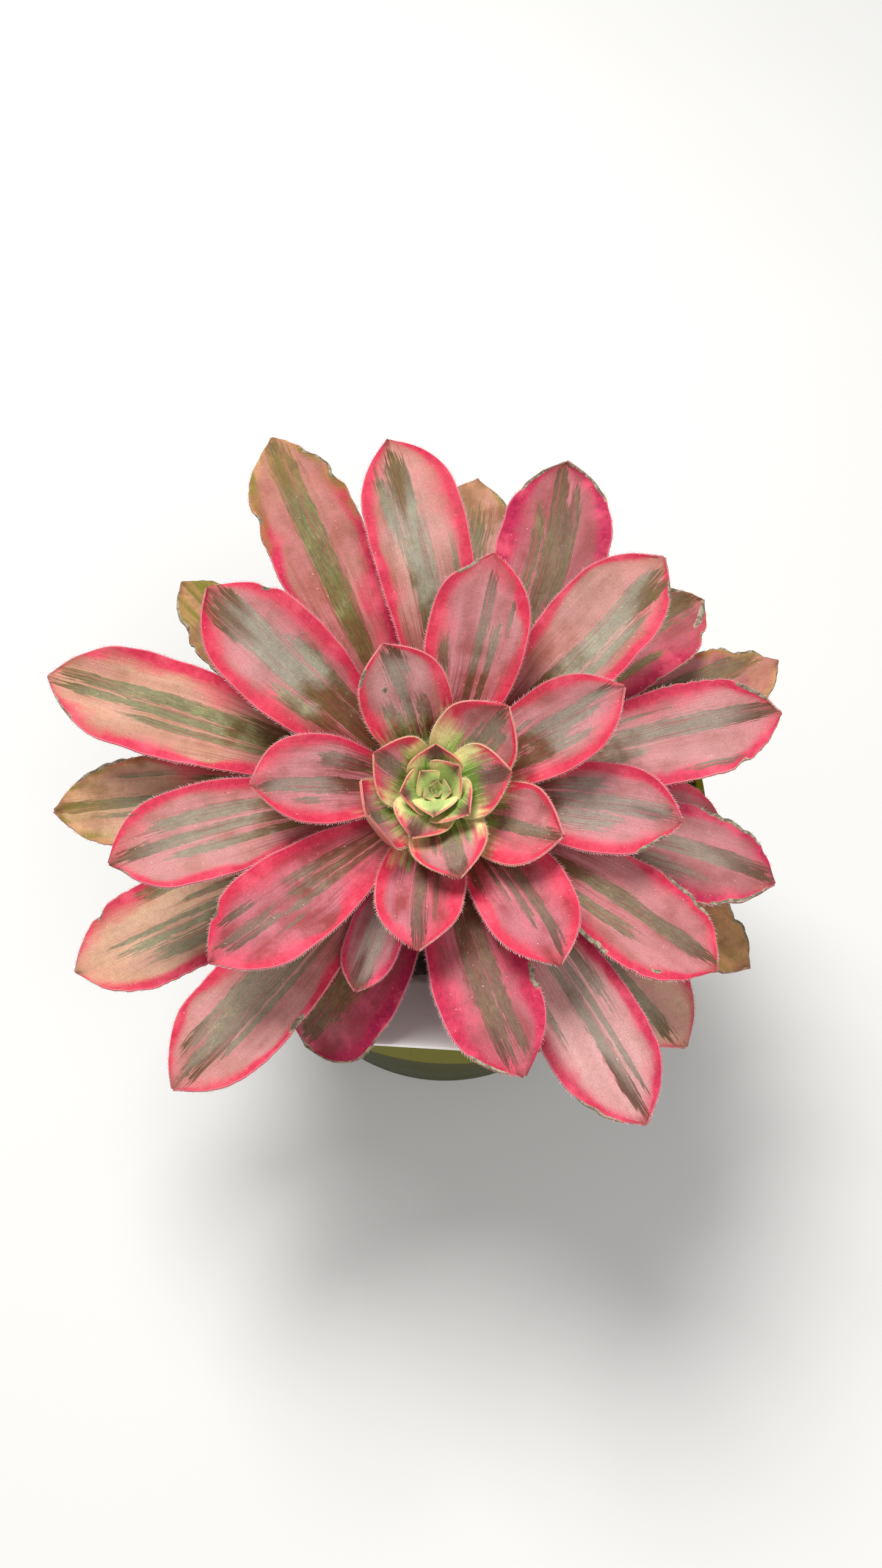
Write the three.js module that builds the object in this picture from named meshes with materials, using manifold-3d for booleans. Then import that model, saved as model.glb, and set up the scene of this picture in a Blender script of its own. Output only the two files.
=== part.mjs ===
// A potted aeonium: a thin plastic nursery pot full of soil, a leaning woody stem, and one rosette
// of spoon-shaped leaves on a golden-angle spiral. A blank plant label leans out over the rim.
// Millimetres, +Z up. The origin is the middle of the pot's underside, on the surface that it
// stands on. The plant leans towards -Y.
import * as THREE from "three";
import { mergeVertices } from "three/addons/utils/BufferGeometryUtils.js";
import Module from "manifold-3d";

// Pot: a 17 cm round nursery pot
const POT_HEIGHT = 115;
const RIM_RADIUS = 85;
const FOOT_RADIUS = 67;
const WALL = 1.5;
const FLOOR = 2;
const COLLAR_HEIGHT = 28;
const COLLAR_STEP = 2.4;
const COLLAR_DRAFT = 1;
const LIP = 1.2;
const LIP_HEIGHT = 2.4;
const EDGE = 0.6;
const FOOT_BEVEL = 1.5;
const POT_SIDES = 56;
const DRAIN_HOLES = 8;
const DRAIN_RADIUS = 4;
const DRAIN_RING = 54;
const DRAIN_SIDES = 10;

// Soil
const SOIL_DEPTH_BELOW_RIM = 15;
const SOIL_LEVEL = POT_HEIGHT - SOIL_DEPTH_BELOW_RIM;
const SOIL_EDGE_DROP = 2.5;
const SOIL_ROUGHNESS = 1.1;
const SOIL_GAP = 0.6;
const SOIL_OUTERMOST_RING = 0.97;
const SOIL_RINGS = 6;
const SOIL_SIDES = 28;

// Stem: s is measured along it, from the growing tip at 0 down into the soil
const HEART = new THREE.Vector3(-5, -26, 166);
const HEART_TILT = THREE.MathUtils.degToRad(20);
const LEAN_TOWARDS = THREE.MathUtils.degToRad(-96);
const LEANING_LENGTH = 68;
const BURIED_LENGTH = 34;
const STEM_TOP = 5.6;
const STEM_TOP_RADIUS = 4.2;
const BUD_RADIUS = 3;
const BUD_HEIGHT = 5.6;
const BUD_SIDES = 10;
const STEM_FOOT_RADIUS = 7;
const STEM_SIDES = 12;
const STEM_STEP = 3;
const STEM_HOLE_GAP = 0.5;
const SCAR_SPACING = 5.5;
const SCAR_RELIEF = 0.35;

// Leaves: n counts them from the youngest, 0, at the growing tip
const GOLDEN_ANGLE = 137.508;
const SPIRAL_START = -6;
const HEART_LEAVES = 13;
const MATURE = 26;
const YOUNG = { widest: 0.5, hollow: 0.3, waist: 0.75, bluntness: 2.1 };
const MATURED = { widest: 0.7, hollow: 0.16, waist: 0.25, bluntness: 3.5 };
const OPENS_OVER = 0.25;
const BASE_HOLLOW = 0.4;
const HEART_SPACING = 0.36;
const LEAF_SPACING = 0.62;
const RISE_LOWEST = -10;
const RISE_SPAN = 90;
const RISE_AGE = 19;
const ARCH = 12;
const CURL_FROM = 0.45;
const CURL_OVER = 0.35;
const BASE_HALF_WIDTH = 3.1;
const SMALLEST_BASE = 0.7;
const BASE_THICKNESS = 1.9;
const BLADE_THICKNESS = 1.3;
const MARGIN_THICKNESS = 0.7;
const TIP_HALF_WIDTH = 0.35;
const ROOT_GAP = 0.95;
const HEART_ROOT_RADIUS = 1.6;
const TIGHT_LEAVES = 5;
const AGED = 43;

// Label
const LABEL_WIDTH = 35;
const LABEL_LENGTH = 82;
const LABEL_THICKNESS = 0.8;
const LABEL_CORNER = 3;
const LABEL_SPIKE_WIDTH = 9;
const LABEL_SPIKE_LENGTH = 34;
const LABEL_SHOULDER = 6;
const LABEL_LEAN = THREE.MathUtils.degToRad(52);
const LABEL_TIP = new THREE.Vector3(-8, -87.5, 123);
const LABEL_TURN = THREE.MathUtils.degToRad(-1);

const GAP = 0.35;

// What each leaf grew to: its length and width, and in degrees how far it turned off the spiral, how
// far its rib sways sideways, how much higher it stands than its age says, and how far it curls up.
const LEAVES = [
  { n: 0, length: 9, width: 8, lift: -20 },
  { n: 1, length: 12, width: 10, lift: -14 },
  { n: 2, length: 17, width: 13, turn: 4, lift: -8 },
  { n: 3, length: 17, width: 14, turn: -6, lift: -4 },
  { n: 4, length: 16, width: 14, turn: 8, lift: -4 },
  { n: 5, length: 21, width: 16 },
  { n: 6, length: 18, width: 16.5, turn: -8 },
  { n: 7, length: 23, width: 17.5, turn: 12 },
  { n: 8, length: 30, width: 21, turn: -4 },
  { n: 9, length: 25, width: 21, turn: 2 },
  { n: 10, length: 34, width: 22, turn: -2 },
  { n: 11, length: 36, width: 25, turn: -18 },
  { n: 12, length: 38, width: 22, turn: 6, curl: 58 },
  { n: 13, length: 40, width: 24, turn: -3, sway: -18 },
  { n: 14, length: 43, width: 26, turn: -7, sway: -9 },
  { n: 15, length: 47, width: 25, turn: 10, sway: -16 },
  { n: 16, length: 59, width: 25, turn: -6, sway: -6, lift: -1 },
  { n: 17, length: 51, width: 26, turn: 11, sway: -28 },
  { n: 18, length: 60, width: 26, turn: -3, sway: 26 },
  { n: 19, length: 67, width: 29, turn: -9, sway: -7 },
  { n: 20, length: 76, width: 28, turn: -3, lift: -2 },
  { n: 21, length: 67, width: 26, turn: -9, sway: 12 },
  { n: 22, length: 84, width: 31, turn: 2, sway: 6 },
  { n: 23, length: 80, width: 28, turn: 12, sway: -20 },
  { n: 24, length: 90, width: 29, turn: -7 },
  { n: 25, length: 90, width: 28, turn: 4, sway: -20 },
  { n: 26, length: 88, width: 28, turn: -1, sway: 8 },
  { n: 27, length: 104, width: 30, turn: -7, sway: -28 },
  { n: 28, length: 56, width: 16, turn: 6, sway: -9 },
  { n: 29, length: 97, width: 29, turn: -7, sway: 5 },
  { n: 30, length: 114, width: 30, turn: 6, sway: -4 },
  { n: 31, length: 103, width: 30, turn: 7, sway: 6 },
  { n: 32, length: 108, width: 34, turn: -3, sway: -32 },
  { n: 33, length: 105, width: 29, turn: 19, sway: 2 },
  { n: 34, length: 95, width: 28, turn: -2, sway: 14 },
  { n: 35, length: 117, width: 31, turn: -10, sway: 4, lift: 6 },
  { n: 37, length: 103, width: 31, turn: -1, sway: 10, curl: -14 },
  { n: 38, length: 109, width: 28, turn: 4, sway: -9 },
  { n: 39, length: 95, width: 28, turn: 0, sway: 20 },
  { n: 40, length: 103, width: 30, turn: -9, sway: 2 },
  { n: 41, length: 84, width: 33, turn: 9, sway: 34, lift: 2, curl: -44 },
  { n: 42, length: 112, width: 27, turn: 17, sway: -8, lift: -2 },
  { n: 43, length: 106, width: 25, turn: -7, sway: 14 },
  { n: 46, length: 113, width: 32, turn: 7 },
  { n: 47, length: 99, width: 26, turn: -2, sway: 23 },
  { n: 48, length: 90, width: 17, turn: -8, sway: 5 },
  { n: 55, length: 84, width: 26, turn: 4, sway: 8 },
];

const wasm = await Module();
wasm.setup();

// A closed geometry as a solid that can be joined and cut
function solidOf(geometry) {
  const bare = geometry.clone();
  bare.deleteAttribute("normal");
  bare.deleteAttribute("uv");
  const merged = mergeVertices(bare, 1e-4);
  return new wasm.Manifold(
    new wasm.Mesh({
      numProp: 3,
      vertProperties: new Float32Array(merged.attributes.position.array),
      triVerts: new Uint32Array(merged.index.array),
    }),
  );
}

function geometryOf(solid) {
  const mesh = solid.getMesh();
  const geometry = new THREE.BufferGeometry();
  geometry.setAttribute("position", new THREE.BufferAttribute(mesh.vertProperties, 3));
  geometry.setIndex(new THREE.BufferAttribute(mesh.triVerts, 1));
  geometry.computeVertexNormals();
  return geometry;
}

function joined(geometries) {
  return geometryOf(geometries.map(solidOf).reduce((whole, next) => whole.add(next)));
}

function cut(geometry, tools) {
  return geometryOf(tools.map(solidOf).reduce((whole, tool) => whole.subtract(tool), solidOf(geometry)));
}

function closedMesh(points, triangles) {
  const geometry = new THREE.BufferGeometry();
  geometry.setAttribute("position", new THREE.Float32BufferAttribute(points.flat(), 3));
  geometry.setIndex(triangles.flat());
  geometry.computeVertexNormals();
  return geometry;
}

// Rings of equally many points, one above the other, closed by a fan at both ends
function lofted(rings) {
  const sides = rings[0].length;
  const points = rings.flat();
  const triangles = [];
  for (let r = 0; r + 1 < rings.length; r += 1) {
    for (let i = 0; i < sides; i += 1) {
      const a = r * sides + i;
      const b = r * sides + ((i + 1) % sides);
      triangles.push([a, b, b + sides], [a, b + sides, a + sides]);
    }
  }
  const last = (rings.length - 1) * sides;
  for (let i = 1; i + 1 < sides; i += 1) {
    triangles.push([0, i + 1, i], [last, last + i, last + i + 1]);
  }
  return closedMesh(points, triangles);
}

function material(color, roughness) {
  return new THREE.MeshStandardMaterial({ color, roughness, metalness: 0 });
}

function piece(name, geometry, finish) {
  const mesh = new THREE.Mesh(geometry, finish);
  mesh.name = name;
  return mesh;
}

// The wall's outer radius at a height, under the collar
function potRadius(z) {
  const top = POT_HEIGHT - COLLAR_HEIGHT;
  const widest = RIM_RADIUS - COLLAR_DRAFT - COLLAR_STEP;
  return FOOT_RADIUS + ((widest - FOOT_RADIUS) * z) / top;
}

// The pot is one moulded shell: floor, tapered wall, a wider collar with a small lip, drain holes
function potGeometry() {
  const collar = POT_HEIGHT - COLLAR_HEIGHT;
  const profile = [
    [0, 0],
    [FOOT_RADIUS - FOOT_BEVEL, 0],
    [FOOT_RADIUS, FOOT_BEVEL],
    [potRadius(collar), collar],
    [RIM_RADIUS - LIP - COLLAR_DRAFT, collar + EDGE],
    [RIM_RADIUS - LIP, POT_HEIGHT - LIP_HEIGHT - EDGE],
    [RIM_RADIUS, POT_HEIGHT - LIP_HEIGHT],
    [RIM_RADIUS, POT_HEIGHT - EDGE],
    [RIM_RADIUS - EDGE, POT_HEIGHT],
    [RIM_RADIUS - LIP - WALL, POT_HEIGHT],
    [RIM_RADIUS - LIP - COLLAR_DRAFT - WALL, collar + WALL],
    [potRadius(collar) - WALL, collar - EDGE],
    [potRadius(FLOOR) - WALL, FLOOR],
    [0, FLOOR],
  ];
  const shell = new THREE.LatheGeometry(
    profile.map(([r, z]) => new THREE.Vector2(r, z)),
    POT_SIDES,
  );
  shell.rotateX(Math.PI / 2);
  const drills = [];
  for (let i = 0; i < DRAIN_HOLES; i += 1) {
    const angle = (2 * Math.PI * (i + 0.5)) / DRAIN_HOLES;
    const drill = new THREE.CylinderGeometry(DRAIN_RADIUS, DRAIN_RADIUS, 3 * FLOOR, DRAIN_SIDES);
    drill.rotateX(Math.PI / 2);
    drill.translate(DRAIN_RING * Math.cos(angle), DRAIN_RING * Math.sin(angle), FLOOR / 2);
    drills.push(drill);
  }
  return cut(shell, drills);
}

// Stem: its tilt falls evenly from the growing tip to the soil, and below that it stands upright
function stemTilt(s) {
  return HEART_TILT * Math.max(0, 1 - s / LEANING_LENGTH);
}

function stemAxis(s) {
  const tilt = stemTilt(s);
  return new THREE.Vector3(
    Math.sin(tilt) * Math.cos(LEAN_TOWARDS),
    Math.sin(tilt) * Math.sin(LEAN_TOWARDS),
    Math.cos(tilt),
  );
}

function stemPoint(s) {
  const point = HEART.clone();
  const steps = 24;
  for (let i = 0; i < steps; i += 1) {
    point.addScaledVector(stemAxis(((i + 0.5) * s) / steps), -s / steps);
  }
  return point;
}

function stemRadius(s) {
  const grown = Math.min(1, Math.max(0, s - STEM_TOP) / (LEANING_LENGTH - STEM_TOP));
  return STEM_TOP_RADIUS + (STEM_FOOT_RADIUS - STEM_TOP_RADIUS) * grown;
}

// A frame on the stem at s, with +Z along the stem towards the growing tip
function stemFrame(s) {
  const frame = new THREE.Group();
  frame.position.copy(stemPoint(s));
  frame.quaternion.setFromUnitVectors(new THREE.Vector3(0, 0, 1), stemAxis(s));
  frame.updateMatrix();
  return frame;
}

// The ring of stem at s, with a low swelling between rows of leaf scars on the bare part
function stemRing(s, bare) {
  const scar = bare ? SCAR_RELIEF * (1 + Math.cos((2 * Math.PI * s) / SCAR_SPACING)) : 0;
  const radius = stemRadius(s) + scar;
  const { matrix } = stemFrame(s);
  const ring = [];
  for (let i = 0; i < STEM_SIDES; i += 1) {
    const angle = (2 * Math.PI * i) / STEM_SIDES;
    const point = new THREE.Vector3(radius * Math.cos(angle), radius * Math.sin(angle), 0);
    ring.push(point.applyMatrix4(matrix).toArray());
  }
  return ring;
}

const LOWEST_LEAF_AT = leafHeight(LEAVES[LEAVES.length - 1].n);

function stemGeometry() {
  const rings = [];
  const end = LEANING_LENGTH + BURIED_LENGTH;
  for (let s = STEM_TOP; s < end - STEM_STEP / 2; s += STEM_STEP) {
    const bare = s > LOWEST_LEAF_AT + STEM_STEP && s < LEANING_LENGTH - STEM_STEP;
    rings.unshift(stemRing(s, bare));
  }
  rings.unshift(stemRing(end, false));
  return lofted(rings);
}

// Leaves: how far below the growing tip leaf n stands, and its rise above square in degrees
function leafHeight(n) {
  const inHeart = Math.min(n, HEART_LEAVES) * HEART_SPACING;
  return inHeart + Math.max(0, n - HEART_LEAVES) * LEAF_SPACING;
}

function leafRise(n) {
  return RISE_LOWEST + RISE_SPAN * Math.exp(-n / RISE_AGE);
}

// What sets one leaf's form, from its row in LEAVES. Young leaves are broad and hollow, grown ones
// are narrow below and widest past the middle. u runs from 0 at the base to 1 at the tip.
function leafForm({ n, length, width, sway = 0, lift = 0, curl = 0 }) {
  const grown = Math.min(1, n / MATURE);
  const widest = between(YOUNG.widest, MATURED.widest, grown);
  const hollow = between(YOUNG.hollow, MATURED.hollow, grown);
  const bluntness = between(YOUNG.bluntness, MATURED.bluntness, grown);
  const half = width / 2;
  const waist = Math.max(BASE_HALF_WIDTH / half, between(YOUNG.waist, MATURED.waist, grown));
  const base = Math.min(BASE_HALF_WIDTH, half * SMALLEST_BASE);
  const slopeAt = (u) => {
    const curled = Math.min(1, Math.max(0, (u - CURL_FROM) / CURL_OVER));
    return THREE.MathUtils.degToRad(leafRise(n) + lift + ARCH * (0.5 - u) + curl * curled);
  };
  const headingAt = (u) => THREE.MathUtils.degToRad(sway * (0.5 - u));
  return { length, widest, hollow, bluntness, half, waist, base, slopeAt, headingAt };
}

function between(from, to, share) {
  return from + (to - from) * share;
}

// Half the blade's width at u: a narrow base, a spoon, a point
function leafReach({ widest, bluntness, half, waist, base }, u) {
  let share = 1;
  if (u < widest) {
    const rising = u / widest;
    share = between(waist, 1, rising * rising * (3 - 2 * rising));
  } else {
    share = 1 - ((u - widest) / (1 - widest)) ** bluntness;
  }
  const opened = Math.min(1, u / (OPENS_OVER * widest));
  return Math.max(TIP_HALF_WIDTH, between(base, half * share, opened));
}

// The blade's thickness on the rib at u
function ribThickness({ widest }, u, reach) {
  const thick = between(BASE_THICKNESS, BLADE_THICKNESS, Math.min(1, u / widest));
  return Math.max(MARGIN_THICKNESS, Math.min(thick, (MARGIN_THICKNESS + reach) * 0.6));
}

// Points on the rib at the stations, from the base at the origin out along +X, rising along +Z
function leafRib({ length, slopeAt, headingAt }, stations) {
  const rib = [new THREE.Vector3()];
  for (let i = 1; i < stations.length; i += 1) {
    const step = (stations[i] - stations[i - 1]) * length;
    const middle = (stations[i] + stations[i - 1]) / 2;
    const forward = step * Math.cos(slopeAt(middle));
    const heading = headingAt(middle);
    const rise = step * Math.sin(slopeAt(middle));
    const move = new THREE.Vector3(forward * Math.cos(heading), forward * Math.sin(heading), rise);
    rib.push(rib[i - 1].clone().add(move));
  }
  return rib;
}

// One leaf in its own frame. Its cross-section is a shallow hollow, thin at the margins.
function leafGeometry(leaf, fine = true) {
  const form = leafForm(leaf);
  const { widest, hollow, slopeAt, headingAt } = form;
  const below = fine ? [0, 0.2, 0.4, 0.6, 0.8, 1] : [0, 0.35, 0.7, 1];
  const above = fine ? [0.3, 0.55, 0.75, 0.9, 0.97, 1] : [0.4, 0.75, 0.93, 1];
  const stations = [...below.map((f) => f * widest), ...above.map((f) => between(widest, 1, f))];
  const across = [-1, -0.5, 0, 0.5, 1];
  const rib = leafRib(form, stations);
  const upper = [];
  const lower = [];
  stations.forEach((u, i) => {
    const slope = slopeAt(u);
    const heading = headingAt(u);
    const reach = leafReach(form, u);
    const middle = ribThickness(form, u, reach);
    const hollowed = hollow * between(BASE_HOLLOW, 1, Math.min(1, u / (OPENS_OVER * widest)));
    for (const v of across) {
      const side = v * reach;
      const half = between(middle, MARGIN_THICKNESS, v * v) / 2;
      for (const [face, offset] of [[upper, half], [lower, -half]]) {
        const up = hollowed * reach * v * v + offset;
        const back = up * Math.sin(slope);
        face.push([
          rib[i].x - back * Math.cos(heading) - side * Math.sin(heading),
          rib[i].y - back * Math.sin(heading) + side * Math.cos(heading),
          rib[i].z + up * Math.cos(slope),
        ]);
      }
    }
  });
  return bladeMesh(upper, lower, stations.length, across.length);
}

// Two like grids of points, with the strip between their edges, as one closed blade
function bladeMesh(upper, lower, rows, columns) {
  const under = upper.length;
  const triangles = [];
  const quad = (a, b, c, d) => triangles.push([a, b, c], [a, c, d]);
  for (let r = 0; r + 1 < rows; r += 1) {
    for (let c = 0; c + 1 < columns; c += 1) {
      const a = r * columns + c;
      const b = a + columns;
      triangles.push([a, b, b + 1], [a, b + 1, a + 1]);
      triangles.push([under + a, under + b + 1, under + b], [under + a, under + a + 1, under + b + 1]);
    }
    const near = r * columns;
    const far = near + columns - 1;
    quad(near, under + near, under + near + columns, near + columns);
    quad(far, far + columns, under + far + columns, under + far);
  }
  for (let c = 0; c + 1 < columns; c += 1) {
    quad(c, c + 1, under + c + 1, under + c);
    const a = (rows - 1) * columns + c;
    quad(a, under + a, under + a + 1, a + 1);
  }
  return closedMesh([...upper, ...lower], triangles);
}

function leafAzimuth({ n, turn = 0 }) {
  return THREE.MathUtils.degToRad(SPIRAL_START + GOLDEN_ANGLE * n + turn);
}

// A large leaf on its own, just clear of the stem
function leafOnStem(leaf, finish) {
  const s = leafHeight(leaf.n);
  const frame = stemFrame(s);
  const spoke = new THREE.Group();
  spoke.rotation.z = leafAzimuth(leaf);
  const mesh = piece(`leaf_${String(leaf.n).padStart(2, "0")}`, leafGeometry(leaf), finish);
  mesh.position.x = stemRadius(s) + ROOT_GAP;
  spoke.add(mesh);
  frame.add(spoke);
  return frame;
}

// The heart: the youngest leaves, rooted in the bud that ends the stem
function heartGeometry() {
  const bud = new THREE.LatheGeometry(
    [
      [0, -STEM_TOP + GAP],
      [STEM_TOP_RADIUS - 2 * MARGIN_THICKNESS, -STEM_TOP + GAP],
      [STEM_TOP_RADIUS, -STEM_TOP / 2],
      [BUD_RADIUS, BUD_HEIGHT / 4],
      [BUD_RADIUS / 2, BUD_HEIGHT * 0.8],
      [0, BUD_HEIGHT],
    ].map(([r, z]) => new THREE.Vector2(r, z)),
    BUD_SIDES,
  );
  bud.rotateX(Math.PI / 2);
  const leaves = LEAVES.filter(({ n }) => n < HEART_LEAVES).map((leaf) => {
    const blade = leafGeometry(leaf, leaf.n >= TIGHT_LEAVES);
    blade.translate(Math.min(1, leaf.n / TIGHT_LEAVES) * HEART_ROOT_RADIUS, 0, 0);
    blade.rotateZ(leafAzimuth(leaf));
    blade.translate(0, 0, -leafHeight(leaf.n));
    return blade;
  });
  return joined([bud, ...leaves]);
}

// The label is one cut sheet: a broad head with round corners and a spike. Its own frame has the
// head's free end at the origin and the spike along -Y.
function labelGeometry(grow = 0) {
  const half = LABEL_WIDTH / 2 + grow;
  const spike = LABEL_SPIKE_WIDTH / 2 + grow;
  const neck = LABEL_LENGTH - LABEL_SPIKE_LENGTH;
  const outline = new THREE.Shape();
  outline.moveTo(-half + LABEL_CORNER, grow);
  outline.lineTo(half - LABEL_CORNER, grow);
  outline.absarc(half - LABEL_CORNER, grow - LABEL_CORNER, LABEL_CORNER, Math.PI / 2, 0, true);
  outline.lineTo(half, -neck + LABEL_SHOULDER);
  outline.lineTo(spike, -neck - LABEL_SHOULDER);
  outline.lineTo(spike, -LABEL_LENGTH + LABEL_SHOULDER);
  outline.lineTo(0, -LABEL_LENGTH - grow);
  outline.lineTo(-spike, -LABEL_LENGTH + LABEL_SHOULDER);
  outline.lineTo(-spike, -neck - LABEL_SHOULDER);
  outline.lineTo(-half, -neck + LABEL_SHOULDER);
  outline.lineTo(-half, grow - LABEL_CORNER);
  outline.absarc(-half + LABEL_CORNER, grow - LABEL_CORNER, LABEL_CORNER, Math.PI, Math.PI / 2, true);
  const depth = LABEL_THICKNESS + 2 * grow;
  const sheet = new THREE.ExtrudeGeometry(outline, { depth, bevelEnabled: false, curveSegments: 4 });
  sheet.translate(0, 0, -depth / 2);
  return sheet;
}

// Stands the label's sheet up with its face to the plant, leaning out towards -Y
function labelFrame() {
  const frame = new THREE.Group();
  frame.position.copy(LABEL_TIP);
  frame.rotation.set(Math.PI / 2 + LABEL_LEAN, 0, LABEL_TURN, "ZXY");
  frame.updateMatrix();
  return frame;
}

// The height of the soil's rough top
function soilTop(x, y) {
  const swell = Math.sin(0.21 * x + 1.3) * Math.cos(0.17 * y - 0.4);
  const ripple = 0.5 * Math.sin(0.4 * x - 0.33 * y);
  return SOIL_LEVEL + SOIL_ROUGHNESS * (swell + ripple);
}

// A ring of soil at a radius: at height z, or on the rough top where no height is given
function soilRing(radius, z) {
  const ring = [];
  for (let i = 0; i < SOIL_SIDES; i += 1) {
    const angle = (2 * Math.PI * i) / SOIL_SIDES;
    const x = radius * Math.cos(angle);
    const y = radius * Math.sin(angle);
    ring.push([x, y, z ?? soilTop(x, y)]);
  }
  return ring;
}

// Soil fills the pot, is rough on top, and has plain holes for the stem and the label
function soilGeometry() {
  const foot = potRadius(FLOOR) - WALL - SOIL_GAP;
  const rim = RIM_RADIUS - LIP - COLLAR_DRAFT - WALL - SOIL_GAP;
  const rings = [soilRing(foot, FLOOR + GAP), soilRing(rim, SOIL_LEVEL - SOIL_EDGE_DROP)];
  for (let r = SOIL_RINGS; r > 0; r -= 1) {
    rings.push(soilRing((rim * SOIL_OUTERMOST_RING * r) / SOIL_RINGS));
  }
  const soil = lofted(rings);
  const wide = STEM_FOOT_RADIUS + STEM_HOLE_GAP;
  const hole = new THREE.CylinderGeometry(wide, wide, 2 * (BURIED_LENGTH + GAP), STEM_SIDES * 2);
  hole.rotateX(Math.PI / 2);
  hole.translate(...stemPoint(LEANING_LENGTH).toArray());
  const slot = labelGeometry(SOIL_GAP);
  slot.applyMatrix4(labelFrame().matrix);
  return cut(soil, [hole, slot]);
}

const leafFinish = material(0xc9566b, 0.6);
const agedLeafFinish = material(0xb98a78, 0.75);
const heartFinish = material(0x9fae5a, 0.6);
const stemFinish = material(0x7a6a55, 0.9);
const soilFinish = material(0x2b2119, 1);
const potFinish = material(0x6f7a33, 0.45);
const labelFinish = material(0xe9e6e2, 0.35);

const plant = new THREE.Group();
plant.add(piece("pot", potGeometry(), potFinish));
plant.add(piece("soil", soilGeometry(), soilFinish));
plant.add(piece("stem", stemGeometry(), stemFinish));

const heart = stemFrame(0);
heart.add(piece("rosette_heart", heartGeometry(), heartFinish));
plant.add(heart);

for (const leaf of LEAVES.filter(({ n }) => n >= HEART_LEAVES)) {
  plant.add(leafOnStem(leaf, leaf.n < AGED ? leafFinish : agedLeafFinish));
}

const label = labelFrame();
label.add(piece("plant_label", labelGeometry(), labelFinish));
plant.add(label);

export default plant;
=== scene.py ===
"""A potted aeonium: one rosette of striped, hair-edged leaves on a short leaning stem, in a thin
olive plastic nursery pot full of soil, with a blank plant label. Metres, +Z up.
"""

import math
import random

import bpy
from mathutils import Matrix, Vector, noise


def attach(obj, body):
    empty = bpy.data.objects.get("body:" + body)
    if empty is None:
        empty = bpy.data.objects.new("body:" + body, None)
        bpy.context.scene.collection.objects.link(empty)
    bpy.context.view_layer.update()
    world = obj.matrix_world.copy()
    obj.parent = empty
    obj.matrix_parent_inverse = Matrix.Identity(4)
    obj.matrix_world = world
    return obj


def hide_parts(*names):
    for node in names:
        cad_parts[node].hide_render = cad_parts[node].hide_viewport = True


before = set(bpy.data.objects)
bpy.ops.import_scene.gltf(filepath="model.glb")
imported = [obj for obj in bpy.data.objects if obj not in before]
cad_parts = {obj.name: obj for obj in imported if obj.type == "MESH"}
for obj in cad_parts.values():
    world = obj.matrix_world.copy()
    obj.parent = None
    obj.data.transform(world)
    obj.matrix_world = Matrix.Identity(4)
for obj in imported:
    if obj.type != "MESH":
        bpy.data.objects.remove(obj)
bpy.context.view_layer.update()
bpy.ops.object.select_all(action="DESELECT")

# ---------------------------------------------------------------------------------------------
# Camera: a phone held in front of and above the pot, tipped well down and turned a little. Its
# focal length is in the photo's own pixels.

PHOTO_HEIGHT = 2569
FOCAL_PIXELS = 1930
SENSOR = 36
CAMERA_SPOT = (-0.0037, -0.181, 0.463)
LOOKING_DOWN = math.radians(62)
ROLL = math.radians(2.4)

bpy.ops.object.camera_add(location=CAMERA_SPOT)
camera = bpy.context.object
camera.rotation_euler = (
    Matrix.Rotation(math.pi / 2 - LOOKING_DOWN, 3, "X") @ Matrix.Rotation(ROLL, 3, "Z")
).to_euler()
camera.data.sensor_width = SENSOR
camera.data.lens = SENSOR * FOCAL_PIXELS / PHOTO_HEIGHT
bpy.context.scene.camera = camera

# ---------------------------------------------------------------------------------------------
# Pot: a 17 cm nursery pot, moulded in one piece from thin olive-green plastic. It has a stepped
# collar with a rolled lip, drain holes round the floor, dust at its foot and fine scuffs.

POT_HEIGHT = 0.115
RIM_RADIUS = 0.085
FOOT_RADIUS = 0.067
WALL = 0.0015
FLOOR = 0.002
COLLAR_HEIGHT = 0.028
COLLAR_STEP = 0.0024
COLLAR_DRAFT = 0.001
LIP = 0.0012
LIP_HEIGHT = 0.0024
EDGE = 0.0006
FOOT_BEVEL = 0.0015
DRAIN_HOLES = 8
DRAIN_RADIUS = 0.004
DRAIN_RING = 0.054
DRAIN_SIDES = 20
POT_SIDES = 128
UNDERSIDE_INSET = 0.022
PINHOLE = 0.0004
SAME_PLACE = 1e-6
COLLAR_AT = POT_HEIGHT - COLLAR_HEIGHT
COLLAR_RADIUS = RIM_RADIUS - LIP - COLLAR_DRAFT


def paint(red, green, blue):
    """A colour as seen on a screen, 0 to 255, as the linear values that a shader takes."""
    linear = []
    for level in (red, green, blue):
        share = level / 255
        if share > 0.04045:
            linear.append(((share + 0.055) / 1.055) ** 2.4)
        else:
            linear.append(share / 12.92)
    return (*linear, 1)


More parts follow.
